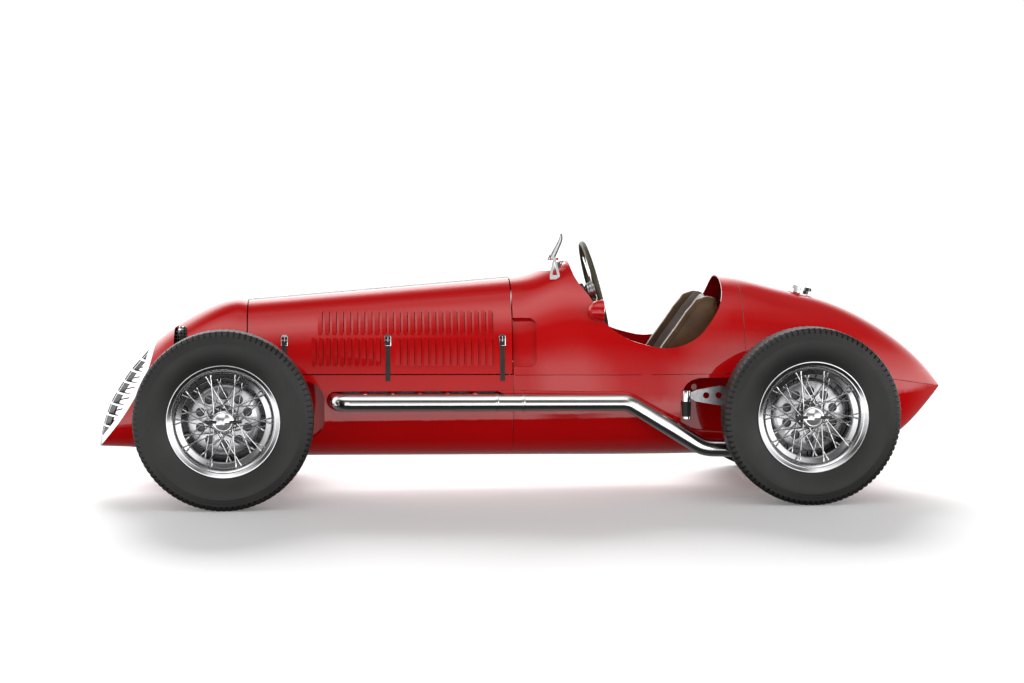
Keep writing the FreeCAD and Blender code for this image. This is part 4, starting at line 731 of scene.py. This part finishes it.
def add_cushions():
    """The four cushions by name, blown up and padded."""
    shapes = []
    for name, (outline, low, high, swell) in CUSHIONS.items():
        finish = SEAT_LEATHER if "side" in name else PANEL_LEATHER
        cushion = Piece(name)
        cushion.prism([Vector((back(distance), low * MM, height * MM)) for distance, height in outline],
                      (0, (high - low) * MM, 0), finish)
        replaced = ["seat"] if name == "seat_back" else ()
        shapes.append((cushion.put("chassis", replaced), swell * MM))
    stuffed(shapes)
    cushions = {holder.name: holder for holder, _ in shapes}
    for side, name in SIDES:
        line_inner_side(cushions["seat_side_" + name].data, side)
    return cushions


def add_seat_seams(cushions):
    """Threads along the edges of the side cushions and down the panels of the back."""
    seams = Piece("seat_seams")
    move_back, move_down = SEAM_INSET
    for name, holder in cushions.items():
        tree = mesh_tree(holder.data)
        lines = []
        if "side" in name:
            for side in (-1, 1):
                lines.append([side_point(tree, back(distance + move_back), (height - move_down) * MM, side)[0]
                              for distance, height in SEAM_EDGE])
        if name == "seat_back":
            for across in BACK_SEAMS:
                lines.append([tree.ray_cast(Vector((BACK_START, across * MM, height * MM)), Vector((-1, 0, 0)))[0]
                              for height in BACK_HEIGHTS])
        for line in lines:
            skin_line(seams, line, SEAM_THREAD, SEAM_LEATHER)
    seams.put("chassis")


add_seat_seams(add_cushions())

# The steering wheel and the shroud behind it

STEERING_MIDDLE = Vector((-314 * MM, 0, 888 * MM))
STEERING_TILT = math.radians(14.6)
RIM_RADIUS = 210 * MM
GRIP_RADIUS = 12.4 * MM
GRIP_RIB = 0.6 * MM
GRIP_RIBS = 90
RIB_STEPS = 4
GRIP_SIDES = 14
SPOKE_ROD = 2.6 * MM
SPOKE_GAP = 7 * MM
SPOKE_REACH = (0.030, 0.202)
SPOKE_ANGLES = (45, 135, 225, 315)
HUB_CAP = [(-34, 10.5), (-34, 30), (-30, 33), (-22, 33), (-20, 36), (-8, 36), (-6, 40), (4, 41), (7, 38), (9, 30),
           (13, 26), (15, 18), (16, 1), (11, 1), (9, 10.5)]
SHROUD = [(-42, 18), (-42, 38), (-46, 42), (-70, 43), (-140, 52), (-140, 18)]


def steering_place():
    """The wheel's middle, with local Y towards the driver and local Z up the wheel."""
    to_driver = Vector((-math.cos(STEERING_TILT), 0, math.sin(STEERING_TILT)))
    up = Vector((math.sin(STEERING_TILT), 0, math.cos(STEERING_TILT)))
    turn = Matrix(((0, to_driver.x, up.x, 0), (1, to_driver.y, up.y, 0), (0, to_driver.z, up.z, 0), (0, 0, 0, 1)))
    return Matrix.Translation(STEERING_MIDDLE) @ turn


def add_steering_wheel():
    """A ribbed rim, paired spokes and a stepped cap; the shroud stays with the car."""
    wheel = Piece("steering_wheel_rim")
    rows = []
    for angle in even_turns(GRIP_RIBS * RIB_STEPS):
        grip = GRIP_RADIUS + GRIP_RIB * math.cos(GRIP_RIBS * angle)
        rows.append([ring_point(RIM_RADIUS + grip * math.cos(turn), grip * math.sin(turn), angle)
                     for turn in even_turns(GRIP_SIDES)])
    wheel.skin(rows, RIM_GRIP)
    for degrees in SPOKE_ANGLES:
        angle = math.radians(degrees)
        out = ring_point(1, 0, angle)
        sideways = Vector((-math.sin(angle), 0, math.cos(angle)))
        for shift in (-SPOKE_GAP, SPOKE_GAP):
            wheel.tube([out * reach + sideways * shift for reach in SPOKE_REACH], SPOKE_ROD, CHROME)
    wheel.lathe(HUB_CAP, CAST_METAL, steps=48)
    wheel.put("steering_wheel", ["steering_wheel"], steering_place())
    shroud = Piece("column_shroud")
    shroud.lathe(SHROUD, BLACK_PAINT_AND_SHADE, steps=40)
    shroud.put("chassis", (), steering_place())


add_steering_wheel()

# The screen: one bent pane, narrower towards its top, with a dark edge

PANE_RADIUS = 170 * MM
PANE_THICKNESS = 5 * MM
PANE_LEAN = math.radians(30)
PANE_FOOT = Vector((back(1392), 0, 1004 * MM))
PANE_TOP = 158 * MM
PANE_CORNER = 34 * MM
PANE_WIDE = math.radians(35)
PANE_NARROW = math.radians(26)
PANE_WAIST = 1.4
PANE_STEPS = 24
PANE_LEVELS = 16
PANE_STRAIGHT = 14
CORNER_ANGLES = (30, 50, 66, 78, 86)
EDGING_FOOT = 30 * MM
EDGING_RADIUS = 3.2 * MM
TOP_EDGING_RADIUS = 2.6 * MM
TOP_STEPS = 8


def pane_point(angle, height, radius):
    """A point of the pane by its direction in plan and its height up the pane."""
    flat = Vector((radius * math.cos(angle) - PANE_RADIUS, radius * math.sin(angle), height))
    return PANE_FOOT + Matrix.Rotation(-PANE_LEAN, 4, "Y") @ flat


def pane_half_angle(height):
    """Half the pane's width at a height, as a direction in plan; the top corners are round."""
    share = min(max(height / PANE_TOP, 0), 1)
    half = PANE_WIDE + (PANE_NARROW - PANE_WIDE) * share ** PANE_WAIST
    rise = height - (PANE_TOP - PANE_CORNER)
    if rise > 0:
        half -= PANE_CORNER / PANE_RADIUS * (1 - math.sqrt(max(0.0, 1 - (rise / PANE_CORNER) ** 2)))
    return half


def add_screen():
    """The pane, its dark edges and the line along its top."""
    heights = [PANE_TOP * step / PANE_LEVELS for step in range(PANE_STRAIGHT)]
    heights += [PANE_TOP - PANE_CORNER * (1 - math.sin(math.radians(angle))) for angle in CORNER_ANGLES]
    pane = Piece("screen_pane")
    rows = []
    for height in heights:
        half = pane_half_angle(height)
        turns = [half * (2 * step / PANE_STEPS - 1) for step in range(PANE_STEPS + 1)]
        rows.append([pane_point(turn, height, PANE_RADIUS) for turn in turns] +
                    [pane_point(turn, height, PANE_RADIUS - PANE_THICKNESS) for turn in reversed(turns)])
    pane.skin(rows, GLASS, round_rows=False)
    pane.put("chassis", ["windscreen_glass"])
    edging = Piece("screen_edging")
    middle = PANE_RADIUS - PANE_THICKNESS / 2
    for side in (-1, 1):
        edging.tube([pane_point(side * pane_half_angle(height), height, middle)
                     for height in heights if height > EDGING_FOOT], EDGING_RADIUS, BLACK_PAINT_AND_SHADE)
    top_half = pane_half_angle(heights[-1])
    # The top line is chrome darkened with painted shade
    edging.tube([pane_point(top_half * (step / TOP_STEPS - 1), heights[-1], middle)
                 for step in range(2 * TOP_STEPS + 1)], TOP_EDGING_RADIUS, SHADED_CHROME)
    edging.put("chassis")


add_screen()

# Buckles on the straps: a frame with a tongue, a crossbar and a cap

STRAP_PLACES = (250, 699, 1198)
BUCKLE_HEIGHT = 682 * MM
BUCKLE_HALF = (13 * MM, 21 * MM)
BUCKLE_BAR = 2.2 * MM
TONGUE_ENDS = (0.92, -0.2)
TONGUE_BAR = BUCKLE_BAR * 0.8
CROSSBAR_REACH = 0.9
CROSSBAR_LEVEL = 0.15
CROSSBAR = BUCKLE_BAR * 0.9
CAP_WIDTH = 0.8
CAP_FOOT = 0.8
CAP_HEIGHT = 0.5
CAP_DEPTH = 3 * MM


def add_buckle(piece, middle, normal):
    """One buckle on a strap, square to its surface."""
    along = Vector((1, 0, 0)) * BUCKLE_HALF[0]
    tall = (Vector((0, 0, 1)) - normal * normal.z).normalized() * BUCKLE_HALF[1]
    corners = [middle + along + tall, middle - along + tall, middle - along - tall, middle + along - tall]
    piece.tube(corners, BUCKLE_BAR, CHROME, closed=True)
    piece.tube([middle + tall * end + normal * BUCKLE_BAR for end in TONGUE_ENDS], TONGUE_BAR, CHROME)
    piece.tube([middle + along * end + tall * CROSSBAR_LEVEL for end in (-CROSSBAR_REACH, CROSSBAR_REACH)],
               CROSSBAR, CHROME)
    cap = middle + tall * CAP_FOOT
    wide = along * CAP_WIDTH
    rise = tall * CAP_HEIGHT
    piece.prism([cap - wide, cap + wide, cap + wide + rise, cap - wide + rise], normal * CAP_DEPTH, CHROME)


def add_buckles():
    for side, name in SIDES:
        tree = node_tree("straps_" + name)
        buckles = Piece("strap_buckles_" + name)
        for distance in STRAP_PLACES:
            place, normal = side_point(tree, back(distance), BUCKLE_HEIGHT, side)
            if place is not None:
                normal = normal if normal.y * side > 0 else -normal
                add_buckle(buckles, place + normal * BUCKLE_BAR, normal)
        buckles.put("bonnet_" + name)


add_buckles()

# A dark line of painted shade along the rear edge of each louvre, where its mouth opens

LOUVRE_ROWS = ((392, 25, 710, 812), (365, 10, 575, 697), (730, 14, 575, 697))
LOUVRE_PITCH = 31
LOUVRE_REAR = 22.5
MOUTH_INSET = 8
MOUTH_RADIUS = 1.5 * MM
MOUTH_STEPS = 4


def add_louvre_mouth_shade():
    for side, name in SIDES:
        tree = node_tree("bonnet_" + name)
        mouths = Piece("louvre_mouth_shade_" + name)
        for first, count, low, high in LOUVRE_ROWS:
            heights = [low + MOUTH_INSET + (high - low - 2 * MOUTH_INSET) * step / MOUTH_STEPS
                       for step in range(MOUTH_STEPS + 1)]
            for number in range(count):
                x = back(first + number * LOUVRE_PITCH + LOUVRE_REAR)
                # Painted shade in the louvre's open mouth, drawn as a dark line
                skin_line(mouths, [side_point(tree, x, height * MM, side)[0] for height in heights],
                          MOUTH_RADIUS, JOINT_SHADE)
        mouths.put("bonnet_" + name)


add_louvre_mouth_shade()

# The knuckles of the bonnet's hinge

HINGE_ENDS = (Vector((1231 * MM, 0, 846 * MM)), Vector((70 * MM, 0, 942 * MM)))
KNUCKLE_PITCH = 22 * MM
KNUCKLE_PROFILE = ((0.0, 5.2), (0.02, 6.7), (0.90, 6.7), (0.92, 5.2))


def add_hinge():
    """A rod whose radius steps between knuckles and gaps."""
    length = (HINGE_ENDS[1] - HINGE_ENDS[0]).length
    along = (HINGE_ENDS[1] - HINGE_ENDS[0]).normalized()
    count = int(length / KNUCKLE_PITCH)
    stations = []
    radii = []
    for number in range(count):
        for share, radius in KNUCKLE_PROFILE:
            stations.append(HINGE_ENDS[0] + along * (length * (number + share) / count))
            radii.append(radius * MM)
    hinge = Piece("hinge_knuckles")
    hinge.tube(stations, radii, HINGE_METAL, sides=12)
    hinge.put("chassis", ["bonnet_hinge"])


add_hinge()

# Two bands round the straight run of the exhaust

PIPE_RUN = (472, 1736)
PIPE_ENDS = (Vector((back(PIPE_RUN[0]), 386 * MM, 424 * MM)), Vector((back(PIPE_RUN[1]), 455 * MM, 424 * MM)))
BAND_PLACES = (1168, 1281)
BAND_PROFILE = [(-7, 36.5), (-7, 38.6), (-5, 39.2), (5, 39.2), (7, 38.6), (7, 36.5)]


def add_exhaust_bands():
    bands = Piece("exhaust_bands")
    start, end = PIPE_ENDS
    turn = (end - start).normalized().to_track_quat("Y", "Z").to_matrix().to_4x4()
    for distance in BAND_PLACES:
        share = (distance - PIPE_RUN[0]) / (PIPE_RUN[1] - PIPE_RUN[0])
        place = Matrix.Translation(start.lerp(end, share)) @ turn
        bands.lathe(BAND_PROFILE, EXHAUST_METAL, steps=48, place=place)
    bands.put("chassis")


add_exhaust_bands()

# Sleeves of the rear dampers: a ribbed boot between two chromed ends

DAMPER_AT = (back(1991), 430 * MM)
CAP_PROFILE = [(424, 12), (424, 18), (426, 18.6), (466, 18.6), (470.5, 17), (470.5, 12)]
FOOT_PROFILE = [(346, 12), (346, 16), (349, 18.4), (358, 18.4), (361, 16), (361, 12)]
RIB_PROFILE = [(361.5, 19.4), (366, 20.2), (367, 19.0)]
RIB_PITCH = 7
SLEEVE_RIBS = 9
SLEEVE_FOOT = (361, 12)
SLEEVE_TOP = [(424, 19), (424, 12)]


def add_damper_sleeves():
    dampers = Piece("damper_sleeves")
    ribs = [(level + rib * RIB_PITCH, radius) for rib in range(SLEEVE_RIBS) for level, radius in RIB_PROFILE]
    sleeve = [SLEEVE_FOOT] + ribs + SLEEVE_TOP
    for side in (-1, 1):
        upright = Matrix.Translation((DAMPER_AT[0], side * DAMPER_AT[1], 0)) @ Matrix.Rotation(math.pi / 2, 4, "X")
        for profile, finish in ((CAP_PROFILE, CHROME), (sleeve, BLACK_RUBBER), (FOOT_PROFILE, CHROME)):
            dampers.lathe(profile, finish, steps=32, place=upright)
    dampers.put("chassis")


add_damper_sleeves()

# The mirrors' glasses, each a disc cut straight on the side towards the car

MIRROR_MIDDLE = Vector((-321 * MM, 336 * MM, 815 * MM))
GLASS_RADIUS = 43 * MM
GLASS_INNER = 306 * MM
GLASS_DEPTH = 2.5 * MM
GLASS_STEPS = 48
GLASS_RIM = 2.2 * MM
SHORTEST_EDGE = 0.5 * MM


def add_mirror_glasses():
    glasses = Piece("mirror_glasses")
    for side in (-1, 1):
        outline = []
        for angle in even_turns(GLASS_STEPS):
            across = max(MIRROR_MIDDLE.y + GLASS_RADIUS * math.cos(angle), GLASS_INNER)
            outline.append(Vector((MIRROR_MIDDLE.x, side * across, MIRROR_MIDDLE.z + GLASS_RADIUS * math.sin(angle))))
        clean = [point for number, point in enumerate(outline)
                 if (point - outline[number - 1]).length > SHORTEST_EDGE]
        glasses.prism(clean, (-GLASS_DEPTH, 0, 0), MIRROR_GLASS)
        glasses.tube(clean, GLASS_RIM, CHROME, closed=True)
    glasses.put("chassis")


add_mirror_glasses()

# Dials on the dashboard: a chromed ring, a dark face, ticks and a needle, with no figures

DIAL_FACE = back(1512) - 5 * MM
DIALS = ((-118, 862, 43), (118, 862, 43), (-212, 842, 24), (212, 842, 24), (0, 905, 24))
DIAL_RING = [(0, 0), (0, 4), (5, 4), (8, 1), (8, -1), (3, -2), (3, 0)]
DIAL_TICKS = range(-30, 211, 24)
TICK_REACH = (0.78, 0.92)
TICK_LIFT = 2.4 * MM
TICK_RADIUS = 0.8 * MM
NEEDLE_TIP = (0.62, 0.35)
NEEDLE_LIFT = 3 * MM
NEEDLE_RADIUS = 0.9 * MM


def add_dials():
    dials = Piece("dashboard_dials")
    for across, height, radius in DIALS:
        facing = Matrix.Translation((DIAL_FACE, across * MM, height * MM)) @ Matrix.Rotation(math.pi / 2, 4, "Z")
        ring = [(along, radius + out) for along, out in DIAL_RING]
        face = [(0, 0.5), (0, radius - 1), (2, radius - 1), (2, 0.5)]
        dials.lathe(ring, CHROME, steps=40, place=facing)
        dials.lathe(face, BLACK_PAINT_AND_SHADE, steps=40, place=facing)
        for tick in DIAL_TICKS:
            angle = math.radians(tick)
            out = ring_point(1, 0, angle) * radius * MM
            lift = Vector((0, TICK_LIFT, 0))
            dials.tube([facing @ (out * reach + lift) for reach in TICK_REACH], TICK_RADIUS, DIAL_MARK, sides=6)
        tip = Vector((NEEDLE_TIP[0] * radius * MM, NEEDLE_LIFT, NEEDLE_TIP[1] * radius * MM))
        dials.tube([facing @ Vector((0, NEEDLE_LIFT, 0)), facing @ tip], NEEDLE_RADIUS, DIAL_MARK, sides=6)
    dials.put("chassis")


add_dials()

# Floor, lights and camera


def soft_sun(name, direction, spread, strength):
    """Broad light from one direction, which no surface mirrors."""
    lamp = bpy.data.lights.new(name, "SUN")
    lamp.angle = math.radians(spread)
    lamp.energy = strength
    holder = bpy.data.objects.new(name, lamp)
    holder.rotation_euler = Vector(direction).to_track_quat("-Z", "Y").to_euler()
    holder.visible_glossy = False
    bpy.context.scene.collection.objects.link(holder)


def ray_switch(tree, kind, others, chosen):
    """One shader for a kind of ray and another one for the others."""
    mix = tree.nodes.new("ShaderNodeMixShader")
    path = tree.nodes.new("ShaderNodeLightPath")
    tree.links.new(path.outputs[kind], mix.inputs["Fac"])
    tree.links.new(others, mix.inputs[1])
    tree.links.new(chosen, mix.inputs[2])
    return mix.outputs["Shader"]


def studio_floor():
    """A white floor that stays white to the horizon and throws little light back up at the car."""
    corners = [(x * FLOOR_HALF, y * FLOOR_HALF, 0) for x, y in ((-1, -1), (1, -1), (1, 1), (-1, 1))]
    mesh = bpy.data.meshes.new("studio_floor")
    mesh.from_pydata(corners, [], [(0, 1, 2, 3)])
    floor = bpy.data.objects.new("studio_floor", mesh)
    bpy.context.scene.collection.objects.link(floor)
    shader = Shader("floor_white", Roughness=0.6, Specular_IOR_Level=0.2)
    shader.colour(shader.noise(scale=0.5), [(0.3, (0.88, 0.88, 0.88)), (0.7, (0.90, 0.90, 0.90))])
    shader.main.inputs["Emission Color"].default_value = (1, 1, 1, 1)
    shader.main.inputs["Emission Strength"].default_value = FLOOR_GLOW
    tree = shader.tree
    dim = shader.add("ShaderNodeBsdfDiffuse")
    dim.inputs["Color"].default_value = (FLOOR_BOUNCE, FLOOR_BOUNCE, FLOOR_BOUNCE, 1)
    seen = ray_switch(tree, "Is Camera Ray", dim.outputs["BSDF"], shader.main.outputs["BSDF"])
    tree.links.new(seen, tree.nodes["Material Output"].inputs["Surface"])
    mesh.materials.append(shader.material)
    floor.visible_glossy = False


def elevation(angle):
    """Place on a ramp, from straight down to straight up, of a direction's angle above level."""
    return 0.5 + 0.5 * math.sin(math.radians(angle))


def studio_world():
    """White to the eye. Diffuse surfaces are lit from the front, and glossy ones mirror soft windows."""
    world = bpy.data.worlds.new("studio")
    world.use_nodes = True
    bpy.context.scene.world = world
    tree = world.node_tree
    place = tree.nodes.new("ShaderNodeTexCoord")
    # A direction's parts run from -1 to 1, and the ramps take 0 to 1
    shift = tree.nodes.new("ShaderNodeVectorMath")
    shift.operation = "MULTIPLY_ADD"
    for factor in (1, 2):
        shift.inputs[factor].default_value = (0.5, 0.5, 0.5)
    split = tree.nodes.new("ShaderNodeSeparateXYZ")
    tree.links.new(place.outputs["Generated"], shift.inputs[0])
    tree.links.new(shift.outputs[0], split.inputs["Vector"])
    along, across, height = split.outputs["X"], split.outputs["Y"], split.outputs["Z"]

    def by_height(stops):
        return grey_ramp(tree, height, [(elevation(angle), grey / LAMP_PEAK) for angle, grey in stops])

    def blend(factor, low, high):
        node = tree.nodes.new("ShaderNodeMix")
        node.data_type = "RGBA"
        tree.links.new(factor, node.inputs[MIX_FACTOR])
        tree.links.new(low, node.inputs[MIX_LOW])
        tree.links.new(high, node.inputs[MIX_HIGH])
        return node.outputs[MIX_RESULT]

    def background(colour, strength):
        node = tree.nodes.new("ShaderNodeBackground")
        node.inputs["Strength"].default_value = strength
        tree.links.new(colour, node.inputs["Color"])
        return node.outputs["Background"]

    to_front = grey_ramp(tree, across, FRONT_PLACES)
    windows = blend(grey_ramp(tree, along, WINDOW_PLACES), by_height(GAP_BANDS), by_height(WINDOW_BANDS))
    windows = blend(grey_ramp(tree, along, REAR_PLACES), windows, by_height(REAR_BANDS))
    behind = blend(grey_ramp(tree, along, REAR_PLACES), by_height(BEHIND_BANDS), by_height(BEHIND_REAR_BANDS))
    mirrored = background(blend(to_front, behind, windows), LAMP_PEAK)
    diffuse = background(blend(to_front, by_height(DIFFUSE_BEHIND), by_height(DIFFUSE_FRONT)), LAMP_PEAK)
    seen = tree.nodes.new("ShaderNodeBackground")
    seen.inputs["Color"].default_value = (1, 1, 1, 1)
    seen.inputs["Strength"].default_value = WHITE_SEEN
    lit = ray_switch(tree, "Is Diffuse Ray", mirrored, diffuse)
    lit = ray_switch(tree, "Is Camera Ray", lit, seen.outputs["Background"])
    tree.links.new(lit, tree.nodes["World Output"].inputs["Surface"])


FLOOR_HALF = 60.0
FLOOR_GLOW = 0.10
FLOOR_BOUNCE = 0.50
WHITE_SEEN = 1.1
LAMP_PEAK = 4.0
# Sockets of a mix node for colours
MIX_FACTOR, MIX_LOW, MIX_HIGH, MIX_RESULT = 0, 6, 7, 2
# Brightness by angle above level, as glossy surfaces mirror it: between the windows and in them
GAP_BANDS = [(-90, 0.03), (-30, 0.03), (-28, 2.5), (-13, 2.3), (-8, 0.8), (0, 0.6), (7, 0.35), (13, 0.25), (20, 0.06),
             (32, 0.1), (42, 0.8), (52, 2.0), (62, 2.4), (72, 1.8), (82, 1.2), (90, 0.8)]
WINDOW_BANDS = [(-90, 0.03), (-24, 0.03), (-22, 2.8), (-13, 2.8), (0, 2.4), (7, 1.8), (12, 0.8), (17, 0.25), (22, 0.1),
                (32, 0.1), (42, 0.7), (52, 2.0), (62, 2.4), (72, 1.8), (82, 1.2), (90, 0.8)]
# The same towards the tail, behind the car, and behind it towards the tail
REAR_BANDS = [(-90, 0.03), (-8, 0.03), (-6, 3.0), (5, 3.0), (15, 2.0), (25, 1.4), (33, 0.7), (42, 0.2), (52, 0.12),
              (62, 0.3), (70, 0.7), (85, 0.9), (90, 0.7)]
BEHIND_BANDS = [(-90, 0.1), (-5, 0.3), (0, 3.0), (35, 3.0), (42, 2.0), (48, 0.9), (54, 0.3), (62, 0.1), (70, 0.12),
                (80, 0.4), (90, 0.8)]
BEHIND_REAR_BANDS = [(-90, 0.1), (-5, 0.3), (0, 2.4), (14, 2.4), (20, 1.7), (27, 1.0), (33, 0.35), (40, 0.15),
                     (60, 0.2), (90, 0.8)]
# Brightness by angle above level that lights diffuse surfaces
DIFFUSE_FRONT = [(0, 2.1), (10, 2.1), (16, 1.0), (30, 0.95), (52, 0.95), (65, 0.1), (90, 0.0)]
DIFFUSE_BEHIND = [(0, 0.25), (30, 0.15), (60, 0.05), (90, 0.0)]
# Shares by place along the car or across it, from 0 at the tail or the right side to 1
WINDOW_PLACES = [(0.38, 1.0), (0.44, 0.6), (0.49, 0.1), (0.56, 0.1), (0.60, 0.9), (0.68, 0.8), (0.80, 0.3)]
REAR_PLACES = [(0.34, 1.0), (0.44, 0.0)]
FRONT_PLACES = [(0.40, 0.0), (0.60, 1.0)]
CAMERA_PLACE = Vector((0.8493, 11.1799, 1.5730))
CAMERA_YAW = 0.0710
CAMERA_PITCH = 0.0818
FOCAL_LENGTH = 88.1
SENSOR_WIDTH = 36.0

lens = bpy.data.cameras.new("camera")
lens.lens = FOCAL_LENGTH
lens.sensor_width = SENSOR_WIDTH
lens.sensor_fit = "HORIZONTAL"
lens.clip_end = 200.0
camera = bpy.data.objects.new("camera", lens)
camera.location = CAMERA_PLACE
camera.rotation_euler = (math.pi / 2 - CAMERA_PITCH, 0, math.pi - CAMERA_YAW)
bpy.context.scene.collection.objects.link(camera)
bpy.context.scene.camera = camera
bpy.context.scene.view_settings.view_transform = "Standard"

studio_floor()
studio_world()
soft_sun("back_light", direction=(0.0, 1.0, -0.45), spread=30, strength=5.3)
